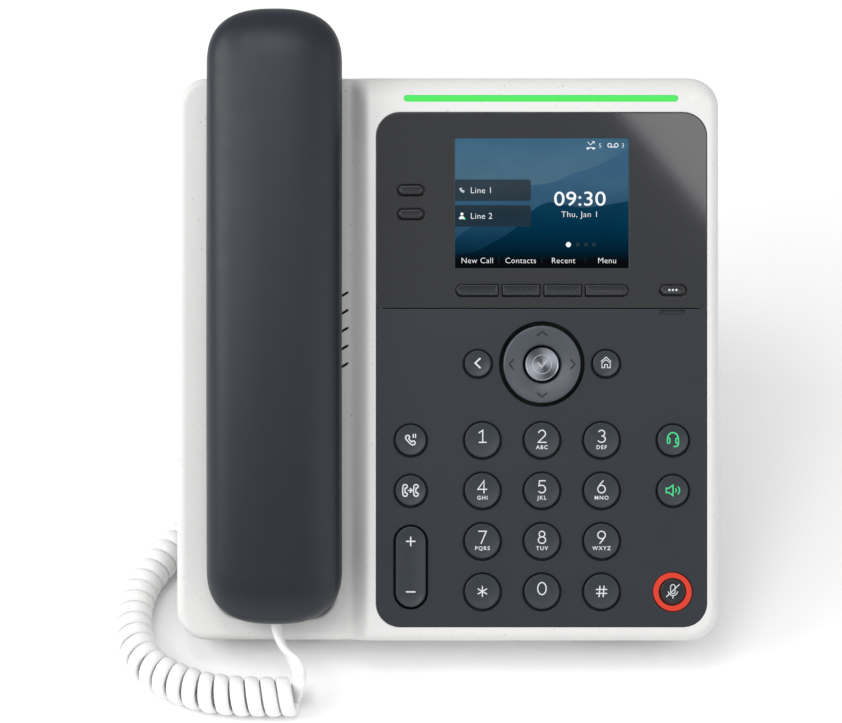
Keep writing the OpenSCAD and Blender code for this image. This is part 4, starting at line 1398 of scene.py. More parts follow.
class Pen:
    """Draws marks as thin solids that follow a surface, a few hundredths proud of it."""

    SUNK = -0.06
    STEP = 0.004
    cap_share: float = 0.0

    def __init__(self, form: Form, x: float, y: float, surface: Level, slot: int,
                 lift: float = 0.035) -> None:
        """Start at a place.

        Args:
            form: The form that takes the marks.
            x: The marks' centre.
            y: The marks' centre.
            surface: The surface's level at a point of the face.
            slot: The ink's index.
            lift: How far the marks stand proud.
        """
        self.form, self.x, self.y = form, x, y
        self.surface, self.slot, self.lift = surface, slot, lift
        self.drawn = 0

    def spot(self, x: float, y: float, rise: float) -> int:
        """Add a point of a mark and return its index."""
        px, py = self.x + x, self.y + y
        return self.form.add(px, py, self.surface(px, py) + rise)

    def stroke(self, points: Sequence[Point2], width: float, closed: bool = False) -> None:
        """Draw a line with round ends.

        Args:
            points: Its points, from the pen's place.
            width: Its width.
            closed: Whether it closes on itself.
        """
        half = width / 2
        line = [Vector(p) for p in points]
        count = len(line)
        sections: list[tuple[Vector, Vector]] = []
        for i, p in enumerate(line):
            before = line[(i - 1) % count] if closed or i > 0 else p
            after = line[(i + 1) % count] if closed or i < count - 1 else p
            a = (p - before).normalized() if (p - before).length > 1e-9 else (after - p).normalized()
            b = (after - p).normalized() if (after - p).length > 1e-9 else a
            way = (a + b).normalized() if (a + b).length > 1e-6 else a
            across = Vector((-way.y, way.x))
            sections.append((p, across * (half / max(way.dot(a), 0.45))))
        if not closed:
            head, tail = sections[0], sections[-1]
            start, end = [], []
            for k in (0, 1, 2):
                a = math.radians(14 + 30 * k)
                back = Vector((head[1].y, -head[1].x)) * -math.cos(a)
                on = Vector((tail[1].y, -tail[1].x)) * math.cos(a)
                start.append((head[0] + back, head[1] * math.sin(a)))
                end.insert(0, (tail[0] + on, tail[1] * math.sin(a)))
            sections = [*start, *sections, *end]
        rise = self.lift + self.STEP * self.drawn
        self.drawn += 1
        rows = []
        for p, side in sections:
            l, r = p + side, p - side
            rows.append((self.spot(l.x, l.y, rise), self.spot(r.x, r.y, rise),
                         self.spot(r.x, r.y, self.SUNK), self.spot(l.x, l.y, self.SUNK)))
        self.form.skin([*rows, rows[0]] if closed else rows, self.slot)
        if not closed:
            self.form.lid(rows[0], slot=self.slot, up=False)
            self.form.lid(rows[-1], slot=self.slot)

    def blot(self, points: Sequence[Point2]) -> None:
        """Fill an outline, counter-clockwise."""
        top = [self.spot(x, y, self.lift) for x, y in points]
        low = [self.spot(x, y, self.SUNK) for x, y in points]
        self.form.strip(low, top, self.slot)
        self.form.lid(top, slot=self.slot)
        self.form.lid(low, slot=self.slot, up=False)

    def letters(self, text: str, x: float, y: float, cap: float, bold: float = 0.0, spread: float = 1.0,
                align: str = "CENTER", wide: float = 1.0) -> None:
        """Set a line of letters.

        Args:
            text: The words.
            x: Their centre or left end, from the pen's place.
            y: Their middle line.
            cap: Height of a capital.
            bold: How much each edge is thickened.
            spread: Spacing between letters.
            align: CENTER or LEFT.
            wide: Stretch of the letters' width.
        """
        if not Pen.cap_share:
            heights = [v.co.y for v in self.set_type("H", 1.0, 0.0, 1.0, "LEFT").vertices]
            Pen.cap_share = max(heights) - min(heights)
        mesh = self.set_type(text, cap / Pen.cap_share, bold, spread, align)
        start = len(self.form.points)
        for v in mesh.vertices:
            self.spot(x + v.co.x * wide, y + v.co.y - cap / 2, self.lift if v.co.z > 0 else self.SUNK)
        for poly in mesh.polygons:
            self.form.face([start + i for i in poly.vertices], self.slot)
        bpy.data.meshes.remove(mesh)

    @staticmethod
    def set_type(text: str, size: float, bold: float, spread: float, align: str) -> Mesh:
        """Return a line of letters as a closed mesh."""
        curve = bpy.data.curves.new("letters", "FONT")
        curve.body = text
        curve.size = size
        curve.align_x = align
        curve.extrude = 0.05
        curve.offset = bold
        curve.space_character = spread
        curve.resolution_u = 4
        holder = bpy.data.objects.new("letters", curve)
        mesh = bpy.data.meshes.new_from_object(holder)
        with edited(mesh) as work:
            bmesh.ops.remove_doubles(work, verts=work.verts, dist=1e-5)
        bpy.data.objects.remove(holder)
        bpy.data.curves.remove(curve)
        return mesh


class Glyphs:
    """The marks on the keys, each drawn with thin even strokes."""

    DIGITS: dict[str, list[list[Point2]]] = {
        "1": [[(-0.27, 0.80), (0.03, 1.0), (0.03, 0.0)], [(-0.26, 0.0), (0.31, 0.0)]],
        "2": [[*arc(0.0, 0.71, 0.29, 0.29, 160, -32), (-0.31, 0.0), (0.33, 0.0)]],
        "3": [[*arc(0.0, 0.755, 0.26, 0.245, 150, -80), *arc(0.0, 0.265, 0.31, 0.265, 82, -150)]],
        "4": [[(0.13, 0.0), (0.13, 1.0), (-0.37, 0.29), (0.37, 0.29)]],
        "5": [[(0.27, 1.0), (-0.20, 1.0), (-0.25, 0.58), *arc(-0.02, 0.315, 0.31, 0.315, 112, -140)]],
        "6": [[(-0.27, 0.46), (-0.12, 0.70), (0.14, 1.0)]],
        "7": [[(-0.31, 1.0), (0.32, 1.0), (-0.10, 0.0)]],
        "9": [[(0.27, 0.54), (0.12, 0.30), (-0.14, 0.0)]],
        "*": [arc(0.0, 0.5, 0.4, 0.4, turn - 90, turn + 90, 1) for turn in (0, -60, 60)],
        "#": [[(-0.42, 0.34), (0.42, 0.34)], [(-0.42, 0.66), (0.42, 0.66)],
              [(-0.20, 0.08), (-0.13, 0.92)], [(0.13, 0.08), (0.20, 0.92)]],
    }
    RINGS: dict[str, list[Point3]] = {
        "0": [(0.5, 0.35, 0.5)], "6": [(0.31, 0.31, 0.31)], "8": [(0.765, 0.235, 0.235), (0.27, 0.30, 0.27)],
        "9": [(0.69, 0.31, 0.31)]}
    RECEIVER: tuple[Point2, ...] = (
        (-0.78, 1.05), (-0.62, 1.72), (0.0, 2.02), (0.58, 1.78), (0.78, 1.22), (0.48, 0.82), (0.0, 0.78),
        (-0.08, 0.0), (0.0, -0.78), (0.48, -0.82), (0.78, -1.22), (0.58, -1.78), (0.0, -2.02),
        (-0.62, -1.72), (-0.78, -1.05), (-0.86, 0.0))

    @classmethod
    def digit(cls, pen: Pen, mark: str, y: float, tall: float, width: float) -> None:
        """Draw a digit, a star or a hash centred on the pen's place.

        Args:
            pen: The pen.
            mark: The digit or sign.
            y: Its middle, from the pen's place.
            tall: Its height.
            width: The stroke's width.
        """
        rings = [arc(0.0, cy, rx, ry, 0, 350, 35) for cy, rx, ry in cls.RINGS.get(mark, [])]
        for line in [*rings, *cls.DIGITS.get(mark, [])]:
            placed = [(px * tall, y + (py - 0.5) * tall) for px, py in line]
            pen.stroke(placed, width, closed=line in rings)

    @classmethod
    def receiver(cls, pen: Pen, x: float, y: float, size: float, turn_deg: float, width: float) -> None:
        """Draw the outline of a telephone receiver, upright and open to the right before its turn."""
        pen.stroke(turned(cls.RECEIVER, turn_deg, x, y, size), width, closed=True)

    @classmethod
    def hold(cls, pen: Pen) -> None:
        """Draw a receiver with a pause sign."""
        cls.receiver(pen, -0.15, -0.1, 0.98, 45, 0.42)
        for x in (0.85, 1.6):
            pen.stroke([(x, 0.85), (x, 1.85)], 0.40)

    @classmethod
    def transfer(cls, pen: Pen) -> None:
        """Draw two receivers with an arrow between them."""
        for x in (-1.85, 1.75):
            cls.receiver(pen, x, 0.0, 0.98, 0, 0.42)
        pen.stroke([(-0.85, 0.0), (0.45, 0.0)], 0.42)
        pen.stroke([(-0.15, 0.62), (0.45, 0.0), (-0.15, -0.62)], 0.42)

    @staticmethod
    def back(pen: Pen) -> None:
        """Draw an arrowhead to the left."""
        pen.stroke([(0.72, 1.62), (-0.88, 0.1), (0.72, -1.42)], 0.52)

    @staticmethod
    def home(pen: Pen) -> None:
        """Draw a house."""
        pen.stroke([(-1.62, 0.62), (0.0, 2.1), (1.62, 0.62)], 0.27)
        pen.stroke([(-1.38, 0.22), (-1.38, -1.42), (-0.44, -1.42), (-0.44, -0.38), (0.44, -0.38),
                    (0.44, -1.42), (1.38, -1.42), (1.38, 0.12), (0.0, 1.24)], 0.25, closed=True)

    @staticmethod
    def headset(pen: Pen) -> None:
        """Draw a headset with a microphone boom."""
        pen.stroke([(-1.75, 0.3), *arc(0.0, 0.62, 1.72, 1.78, 180, 0, 18), (1.75, 0.3)], 0.46)
        for side in (-1, 1):
            cup = Outline.rect(side * 1.42, -0.25, 0.85, 1.75, 0.36, 4)
            pen.stroke(cup.loop(), 0.40, closed=True)
        pen.stroke([(1.85, -0.9), (1.70, -1.75), (1.2, -2.12), (0.35, -2.2)], 0.46)

    @staticmethod
    def speaker(pen: Pen) -> None:
        """Draw a loudspeaker with two waves."""
        pen.stroke([(-2.2, 0.72), (-1.35, 0.72), (0.02, 1.72), (0.02, -1.72), (-1.35, -0.72), (-2.2, -0.72)],
                   0.42, closed=True)
        pen.stroke(arc(0.25, 0.0, 0.85, 0.85, -38, 38, 8), 0.40)
        pen.stroke(arc(0.25, 0.0, 1.95, 1.75, -42, 42, 10), 0.40)

    @staticmethod
    def muted(pen: Pen) -> None:
        """Draw a microphone with a line across it."""
        pen.stroke(Outline.pill(0.0, 0.75, 1.5, 3.0, 5).loop(), 0.28, closed=True)
        pen.stroke(arc(0.0, 0.35, 1.62, 1.72, 195, 345, 14), 0.28)
        pen.stroke([(0.0, -1.4), (0.0, -2.25)], 0.28)
        pen.stroke([(-2.1, -1.75), (2.15, 2.3)], 0.30)

    @staticmethod
    def louder(pen: Pen) -> None:
        """Draw a plus above and a minus below."""
        pen.stroke([(-1.4, 8.35), (1.4, 8.35)], 0.46)
        pen.stroke([(0.0, 6.95), (0.0, 9.75)], 0.46)
        pen.stroke([(-1.4, -8.35), (1.4, -8.35)], 0.46)

    @staticmethod
    def dots(pen: Pen) -> None:
        """Draw three dots."""
        for x in (-1.15, 0.0, 1.15):
            pen.blot(Outline.disc(x, 0.0, 0.36, 4).loop())

    @staticmethod
    def tick(pen: Pen) -> None:
        """Draw a ring and a tick."""
        pen.stroke(arc(0.0, 0.0, 3.1, 3.1, 0, 354, 59), 0.16, closed=True)
        pen.stroke([(-1.25, 0.55), (-0.05, -1.05), (1.45, 1.05)], 0.34)


# ---------------------------------------------------------------- keys


@dataclass(frozen=True)
class Levels:
    """Levels out of the face that the keys and panels share, in millimetres."""

    panel: float = 27.3
    panel_low: float = 25.35
    key: float = 28.5
    flange: float = 24.9
    flange_low: float = 24.2
    mat: float = 22.4


LEVEL = Levels()


@dataclass(frozen=True)
class KeyCap:
    """A key with drafted sides, a fine rounded rim and a shallow dish in its top."""

    node: str
    shape: Outline
    draw: Callable[[Pen], None] | None = None
    ink: Finish = Finish.LEGEND
    skin: Finish = Finish.KEY
    top: float = LEVEL.key
    draft: float = 0.26
    rim: float = 0.3
    dish: float = 0.48
    lean: float = 0.27
    flange: float = 0.95
    low: float = LEVEL.flange_low

    def reach(self) -> float:
        """Return how far the dish runs from the rim to the middle."""
        return min(self.shape.w, self.shape.h) / 2 - self.draft - self.rim

    def surface(self, x: float, y: float) -> float:
        """Return the top's level at a point."""
        return self.dished(clamp((self.shape.depth(x, y - self.lean) - self.draft - self.rim) / self.reach()))

    def dished(self, t: float) -> float:
        """Return the top's level at a share of the way from the rim to the middle."""
        return self.top - self.dish * (1 - (1 - t) * (1 - t))

    def build(self, body: str) -> None:
        """Make the key with its mark, riding on a body."""
        form = Form()
        flange = [(-self.flange, self.low), (-self.flange, LEVEL.flange), (0.0, LEVEL.flange)]
        walls = [(0.0, LEVEL.panel_low), (self.draft * 0.8, self.top - self.rim * 1.7)]
        edge = [(self.draft + inset, level)
                for inset, level in rounding(self.rim, self.top, (0.0, 0.35, 0.7, 1.05, 1.35, math.pi / 2))]
        hollow = [(self.draft + self.rim + self.reach() * t, self.dished(t))
                  for t in (0.04, 0.12, 0.22, 0.35, 0.5, 0.66, 0.82, 0.97)]
        form.cap(self.shape, [*flange, *walls, *edge, *hollow],
                 lean=lambda w: self.lean * clamp((w - LEVEL.panel_low) / (self.top - LEVEL.panel_low)))
        if self.draw:
            self.draw(Pen(form, self.shape.x, self.shape.y + self.lean, self.surface, 1))
        piece = form.piece(f"{self.node}_cap", self.skin, self.ink, smooth_deg=50.0)
        stand_in_for(piece, body, self.skin.value, self.node)


@dataclass
class Keypad:
    """Every key of the phone but the navigation ring, with the outlines of their holes."""

    middle: float = 31.3
    left: float = -12.1
    right: float = 74.6
    low_y: float = 16.4
    pitch: Point2 = (19.7, 16.7)
    dial_hole: float = 12.7
    side_hole: float = 11.2
    small_hole: float = 9.8
    gap: float = 0.35
    nav_y: float = 91.8
    small_reach: float = 21.2
    soft_y: float = 116.1
    soft_h: float = 4.4
    soft_web: float = 0.8
    soft_w: Point2 = (14.6, 12.95)
    pill: Point2 = (9.6, 4.4)
    line_y: Point2 = (149.2, 141.3)
    volume: Point3 = (24.6, 11.2, 27.9)
    mute_ring: Point2 = (6.5, 4.45)
    nav_hole: float = 28.1
    dial: Sequence[tuple[str, str, str]] = (
        ("key_1", "1", ""), ("key_2", "2", "ABC"), ("key_3", "3", "DEF"), ("key_4", "4", "GHI"),
        ("key_5", "5", "JKL"), ("key_6", "6", "MNO"), ("key_7", "7", "PQRS"), ("key_8", "8", "TUV"),
        ("key_9", "9", "WXYZ"), ("key_star", "*", ""), ("key_0", "0", ""), ("key_hash", "#", ""))

    def dial_at(self, i: int) -> Point2:
        """Return a dial key's centre."""
        return self.middle + (i % 3 - 1) * self.pitch[0], self.low_y + (3 - i // 3) * self.pitch[1]

    def rows(self) -> Point2:
        """Return the levels up the face of the two upper rows of side keys."""
        return self.low_y + 3 * self.pitch[1], self.low_y + 2 * self.pitch[1]

    def rounds(self) -> list[tuple[str, float, float, float, Callable[[Pen], None], Finish]]:
        """Return the round keys beside the dial: name, centre, hole, mark and ink."""
        high, low = self.rows()
        ink, lit = Finish.LEGEND, Finish.GREEN_LEGEND
        return [("back_key", self.middle - self.small_reach, self.nav_y, self.small_hole, Glyphs.back, ink),
                ("home_key", self.middle + self.small_reach, self.nav_y, self.small_hole, Glyphs.home, ink),
                ("hold_key", self.left, high, self.side_hole, Glyphs.hold, ink),
                ("transfer_key", self.left, low, self.side_hole, Glyphs.transfer, ink),
                ("headset_key", self.right, high, self.side_hole, Glyphs.headset, lit),
                ("speaker_key", self.right, low, self.side_hole, Glyphs.speaker, lit)]

    def softs(self, shrink: float) -> list[Outline]:
        """Return the soft keys' outlines, made smaller by a distance."""
        wide, slim = self.soft_w
        out = []
        x = self.middle - wide - slim - 1.5 * self.soft_web
        for i, w in enumerate((wide, slim, slim, wide)):
            h = self.soft_h - 2 * shrink
            round_r, square_r = h / 2, 0.3
            left = round_r if i == 0 else square_r
            right = round_r if i == 3 else square_r
            out.append(Outline(x + w / 2, self.soft_y, w - 2 * shrink, h, (right, left, left, right), 8))
            x += w + self.soft_web
        return out

    def pills(self, w: float, h: float) -> list[tuple[str, Outline]]:
        """Return the line keys and the page key with their outlines."""
        return [("line_key_1", Outline.pill(self.left, self.line_y[0], w, h)),
                ("line_key_2", Outline.pill(self.left, self.line_y[1], w, h)),
                ("page_key", Outline.pill(self.right, self.soft_y, w, h))]

    def lower_holes(self) -> list[Outline]:
        """Return the holes through the keypad panel."""
        holes = [Outline.disc(*self.dial_at(i), self.dial_hole / 2) for i in range(len(self.dial))]
        holes += [Outline.disc(x, y, hole / 2) for _, x, y, hole, _, _ in self.rounds()]
        y, w, h = self.volume
        return [*holes, Outline.pill(self.left, y, w, h, 16),
                Outline.disc(self.right, self.low_y, self.mute_ring[0] + 0.05),
                Outline.disc(self.middle, self.nav_y, self.nav_hole / 2, 24)]

    def upper_holes(self) -> list[Outline]:
        """Return the holes through the display panel, the display's own left out."""
        return [*self.softs(0.0), *[shape for _, shape in self.pills(*self.pill)]]

    def build(self) -> None:
        """Make every key."""
        for i, (node, mark, letters) in enumerate(self.dial):
            shape = Outline.disc(*self.dial_at(i), self.dial_hole / 2 - self.gap, 16)
            KeyCap(node, shape, self.dial_mark(mark, letters)).build(node)
        for node, x, y, hole, draw, ink in self.rounds():
            KeyCap(node, Outline.disc(x, y, hole / 2 - self.gap, 16), draw, ink).build(node)
        y, w, h = self.volume
        KeyCap("volume_rocker", Outline.pill(self.left, y, w - 0.8, h - 0.8, 18), Glyphs.louder, dish=0.5,
               flange=0.0).build("volume")
        for i, shape in enumerate(self.softs(0.32), 1):
            KeyCap(f"soft_key_{i}", shape, skin=Finish.GLOSS_KEY, top=LEVEL.key - 0.4, draft=0.1, rim=0.35,
                   dish=0.12, flange=0.35).build(f"soft_key_{i}")
        for node, shape in self.pills(self.pill[0] - 1.3, self.pill[1] - 1.2):
            page = node == "page_key"
            KeyCap(node, shape, Glyphs.dots if page else None, skin=Finish.GLOSS_KEY, top=LEVEL.key - 0.2,
                   draft=0.12, rim=0.55, dish=0.05, flange=0.8).build("page" if page else node)
        shape = Outline.disc(self.right, self.low_y, self.mute_ring[1] - self.gap, 16)
        KeyCap("mute_key", shape, Glyphs.muted, skin=Finish.GLOSS_KEY, top=LEVEL.key - 0.4, draft=0.08,
               rim=0.3, dish=0.2, flange=0.5, low=23.75).build("mute")

    def dial_mark(self, mark: str, letters: str) -> Callable[[Pen], None]:
        """Return a function that draws a dial key's digit, letters and, on the 5, its bump."""
        def draw(pen: Pen) -> None:
            level, tall = {"*": (0.0, 4.1), "#": (0.0, 4.1), "0": (0.95, 4.0)}.get(mark, (1.2, 4.0))
            Glyphs.digit(pen, mark, level, tall, 0.38)
            if letters:
                pen.letters(letters, 0.0, -2.4, 1.22, 0.03, 1.26)
            if mark == "5":
                bump = Outline.pill(0.0, -4.1, 2.2, 0.55, 5).loop()
                Pen(pen.form, pen.x, pen.y, pen.surface, 0, 0.3).blot(bump)
        return draw


@dataclass
class NavRing:
    """The navigation ring with four engraved arrowheads, the metal button in it and its frame."""

    x: float = 31.3
    y: float = 91.8
    ring: Point2 = (12.8, 6.2)
    low: float = 25.1
    top: float = 28.8
    button_r: float = 5.6
    button_top: float = 29.0
    arrow_r: float = 10.1
    groove: float = 0.26

    def build(self) -> None:
        """Make the ring, the button and the frame."""
        self.build_ring()
        self.build_button()
        frame_form = Form()
        Turning(64).add_to(frame_form, [(7.4, 23.4), (12.1, 23.4), (12.4, 23.7), (12.4, 24.1), (12.1, 24.4),
                                        (7.4, 24.4)], (self.x, self.y, 0.0), Finish.DARK, True)
        stand_in_for(frame_form.piece("nav_cradle", Finish.DARK), "nav_tilt", "dark_parts", "nav_frame")

    def surface(self, x: float, y: float) -> float:
        """Return the ring's level at a point: it falls gently towards its middle."""
        t = (math.hypot(x - self.x, y - self.y) - self.ring[1] - 0.5) / (self.ring[0] - self.ring[1] - 1.2)
        return self.top - 0.9 * (1 - clamp(t)) ** 1.4

    def build_ring(self) -> None:
        """Make the ring with its arrowheads."""
        outer, inner = self.ring
        edge = [(outer - inset, level)
                for inset, level in rounding(0.55, self.top, (0.0, 0.3, 0.6, 0.9, 1.2, math.pi / 2))]
        slope = [(r, self.surface(self.x + r, self.y))
                 for r in (12.1, 11.4, 10.6, 9.8, 9.0, 8.2, 7.5, 6.9, 6.6)]
        mouth = [(6.42, 27.72), (6.28, 27.55), (inner, 27.3)]
        profile = [(inner, self.low), (outer, self.low), *edge, *slope, *mouth]
        form = Form()
        Turning(96).add_to(form, profile, (self.x, self.y, 0.0), Finish.NAV, True)
        level = self.surface(self.x + self.arrow_r + 1.0, self.y)
        arrow = Form()
        Pen(arrow, 0.0, 0.0, flat(level), 0).stroke([(-0.55, 1.5), (0.75, 0.0), (-0.55, -1.5)], 0.42)
        Pattern(Layout.RING, 4, radius=self.arrow_r).add_to(
            form, arrow, (self.x, self.y, 0.0), 1, Finish.DIM_LEGEND)
        piece = form.piece("nav_wheel", Finish.NAV, Finish.DIM_LEGEND)
        stand_in_for(piece, "nav_turn", "nav_ring", "nav_ring")

    def build_button(self) -> None:
        """Make the spun button, whose fine grooves are real."""
        r = self.button_r
        face = []
        count = round((r - 0.62) / self.groove)
        for k in range(2 * count):
            at = r - 0.55 - k * self.groove / 2
            face.append((at, self.button_top - 0.10 - (0.014 if k % 2 else 0.0)))
        lip = [(r - inset, self.button_top - drop)
               for inset, drop in ((0.0, 0.35), (0.08, 0.12), (0.22, 0.0), (0.36, 0.0), (0.46, 0.08))]
        stem = [(0.0, 23.6), (4.6, 23.6), (4.6, 25.0), (r, 25.0)]
        profile = [*stem, *lip, *face, (0.0, self.button_top - 0.1)]
        form = Form()
        Turning(96).add_to(form, profile, (self.x, self.y, 0.0), Finish.SPUN)
        Glyphs.tick(Pen(form, self.x, self.y, flat(self.button_top - 0.09), 1))
        piece = form.piece("select_cap", Finish.SPUN, Finish.BRIGHT, smooth_deg=40.0)
        stand_in_for(piece, "select", "select_metal", "select_button")


# ---------------------------------------------------------------- panels, display and lights


@dataclass
class Panels:
    """The two dark panels: the keypad's and, above a fine split line, the display's."""

    keypad: Keypad
    x: float = 31.2
    width: float = 109.4
    low_y: float = 4.9
    high_y: float = 175.1
    split: float = 110.3
    split_gap: float = 0.26
    corner: float = 7.9
    sharp: float = 0.25
    window: tuple[float, float, float, float] = (31.3, 145.1, 57.6, 43.2)
    mic: tuple[float, float, float, float] = (74.6, 109.0, 8.4, 1.2)

    def build(self) -> None:
        """Make both panels."""
        self.build_lower()
        self.build_upper()

    def outline(self, low: float, high: float, upper_r: float, lower_r: float) -> Outline:
        """Return a panel's outline between two places up the face."""
        radii = (upper_r, upper_r, lower_r, lower_r)
        return Outline(self.x, (low + high) / 2, self.width, high - low, radii, 12)

    def build_lower(self) -> None:
        """Make the keypad panel with the base microphone's slot."""
        shape = self.outline(self.low_y, self.split - self.split_gap / 2, self.sharp, self.corner)
        slot = Outline.rect(*self.mic[:2], self.mic[2], self.mic[3] - 0.1, 0.3, 5)
        form = Form()
        form.plate(shape, LEVEL.panel_low, LEVEL.panel, 0.2, [*self.keypad.lower_holes(), slot], 0.3)
        floor = Outline.rect(*self.mic[:2], self.mic[2] + 0.02, self.mic[3] - 0.08, 0.3, 5)
        form.cap(floor, [(0.0, LEVEL.panel_low + 0.1), (0.0, LEVEL.panel - 0.9)], 1)
        form.cap(Outline.rect(self.mic[0], self.mic[1] - 0.62, self.mic[2] - 0.9, 0.34, 0.16, 4),
                 [(0.0, LEVEL.panel - 0.2), (0.0, LEVEL.panel + 0.05), (0.08, LEVEL.panel + 0.12)], 2)
        piece = form.piece("keypad_plate", Finish.KEY_PANEL, Finish.DARK, Finish.DIM_LEGEND)
        stand_in_for(piece, "base", "key_panel", "keypad_panel")

    def build_upper(self) -> None:
        """Make the display panel round the window."""
        shape = self.outline(self.split + self.split_gap / 2, self.high_y, self.corner, self.sharp)
        window = Outline.rect(*self.window, 0.35, 4)
        form = Form()
        form.plate(shape, LEVEL.panel_low, LEVEL.panel, 0.2, [window, *self.keypad.upper_holes()], 0.12)
        stand_in_for(form.piece("display_panel", Finish.LENS), "base", "display_glass", "display_bezel")


@dataclass
class Display:
    """The lit screen: an evening sky over ridges, two line labels, a clock and four soft labels."""

    x: float = 31.3
    y: float = 145.1
    view: Point2 = (57.4, 43.0)
    frame_low: float = 21.2
    glass: float = 26.66
    lift: float = 0.03

    def build(self) -> None:
        """Make the screen."""
        form = Form()
        low = (self.x - 34.5, self.y - 23.8, self.frame_low)
        form.block(low, (self.x + 34.5, self.y + 26.0, 25.2), 0.3, 1)
        form.cap(Outline.rect(self.x, self.y, *self.view, 0.3, 3), [(0.0, 25.0), (0.0, self.glass)], 0)
        self.ridges(form)
        self.labels(form)
        piece = form.piece("screen", Finish.SKY, Finish.DARK, Finish.RIDGE_FAR, Finish.RIDGE_MID,
                           Finish.RIDGE_NEAR, Finish.SCREEN_BOX, Finish.SCREEN_INK, Finish.SCREEN_DIM,
                           Finish.GREEN_LEGEND, smooth_deg=20.0)
        stand_in_for(piece, "base", "display", "lcd_module")

    def ridges(self, form: Form) -> None:
        """Lay three ridges across the sky, each a little nearer."""
        left, right = self.x - self.view[0] / 2 + 0.02, self.x + self.view[0] / 2 - 0.02
        low = self.y - self.view[1] / 2 + 0.02
        lines = (
            (2, ((0.0, 25.6), (0.10, 26.0), (0.24, 26.4), (0.42, 27.4), (0.52, 28.0), (0.60, 29.2),
                 (0.68, 31.4), (0.76, 32.7), (0.83, 34.2), (0.90, 36.2), (0.96, 38.6), (1.0, 39.6))),
            (3, ((0.0, 9.6), (0.04, 11.6), (0.10, 13.6), (0.20, 14.2), (0.34, 15.8), (0.44, 18.6),
                 (0.50, 21.2), (0.58, 23.6), (0.66, 25.4), (0.72, 27.8), (0.80, 28.6), (0.90, 29.4),
                 (1.0, 30.6))),
            (4, ((0.0, 4.6), (0.12, 5.6), (0.20, 8.0), (0.30, 11.2), (0.38, 15.0), (0.44, 18.8), (0.50, 21.0),
                 (0.56, 21.8), (0.64, 20.9), (0.74, 20.0), (0.86, 20.8), (1.0, 22.2))))
        for slot, points in lines:
            level = self.glass + self.lift * (slot - 1)
            spots = smooth_line([Vector((left + t * (right - left), low + h, 0.0)) for t, h in points], 5)
            tops = [(min(max(p.x, left), right), p.y) for p in spots]
            for (ax, ay), (bx, by) in zip(tops, tops[1:]):
                a, b = form.add(ax, low, level), form.add(bx, low, level)
                c, d = form.add(bx, by, level), form.add(ax, ay, level)
                form.face((a, b, c, d), slot)

    def labels(self, form: Form) -> None:
        """Set the labels, the clock, the page dots and the status marks."""
        level = self.glass + 5 * self.lift
        left = self.x - self.view[0] / 2
        for y, text in ((149.4, "Line 1"), (140.9, "Line 2")):
            box = Outline(left + 12.55, y, 25.06, 7.1, (0.9, 0.02, 0.02, 0.9), 5)
            form.lid(form.ring(box.loop(), level), slot=5)
            Pen(form, left, y, flat(level), 6, 0.05).letters(text, 5.0, 0.0, 1.95, -0.03, 1.05, "LEFT")
        Glyphs.receiver(Pen(form, left, 149.4, flat(level), 6, 0.05), 2.25, 0.0, 0.42, 45, 0.2)
        person = Pen(form, left + 2.25, 140.9, flat(level), 6, 0.05)
        person.blot(Outline.disc(0.0, 0.62, 0.5, 6).loop())
        person.blot([(-1.0, -1.05), (1.0, -1.05), *arc(0.0, -1.05, 1.0, 1.0, 18, 162, 8)])
        Pen(form, left + 3.1, 139.95, flat(level), 8, 0.09).blot(Outline.disc(0.0, 0.0, 0.34, 5).loop())
        pen = Pen(form, 0.0, 0.0, flat(level), 6, 0.05)
        pen.letters("09:30", 43.9, 146.6, 4.55, 0.02, 1.02, wide=1.16)
        pen.letters("Thu, Jan 1", 43.9, 141.45, 1.85, -0.03, 1.06, wide=1.06)
        for x, text in ((9.9, "New Call"), (24.3, "Contacts"), (38.4, "Recent"), (52.9, "Menu")):
            pen.letters(text, x, 126.15, 1.8, -0.03, 1.05, wide=1.02)
        pen.blot(Outline.disc(40.1, 131.4, 0.86, 6).loop())
        pen.letters("5", 50.6, 164.2, 1.45, -0.035)
        pen.letters("3", 58.1, 164.2, 1.45, -0.035)
        for x in (53.75, 55.95):
            pen.stroke(arc(x, 164.3, 0.62, 0.62, 0, 345, 12), 0.24, closed=True)
        pen.stroke([(53.75, 163.68), (55.95, 163.68)], 0.24)
        pen.stroke(arc(47.5, 162.2, 1.25, 1.35, 138, 42, 8), 0.24)
        for x in (46.55, 48.45):
            pen.stroke([(x - 0.2, 163.25), (x + 0.2, 163.25)], 0.6)
        pen.stroke([(46.5, 165.35), (47.4, 164.45), (48.6, 165.45)], 0.2)
        pen.stroke([(48.0, 165.5), (48.65, 165.5), (48.65, 164.9)], 0.18)
        dim = Pen(form, 0.0, 0.0, flat(level), 7, 0.05)
        for x in (43.2, 45.9, 48.5):
            dim.blot(Outline.disc(x, 131.4, 0.62, 5).loop())
        for x in (17.1, 31.3, 45.7):
            dim.stroke([(x, 125.2), (x, 127.2)], 0.1)
        dim.stroke([(52.2, 163.2), (52.2, 165.4)], 0.12)


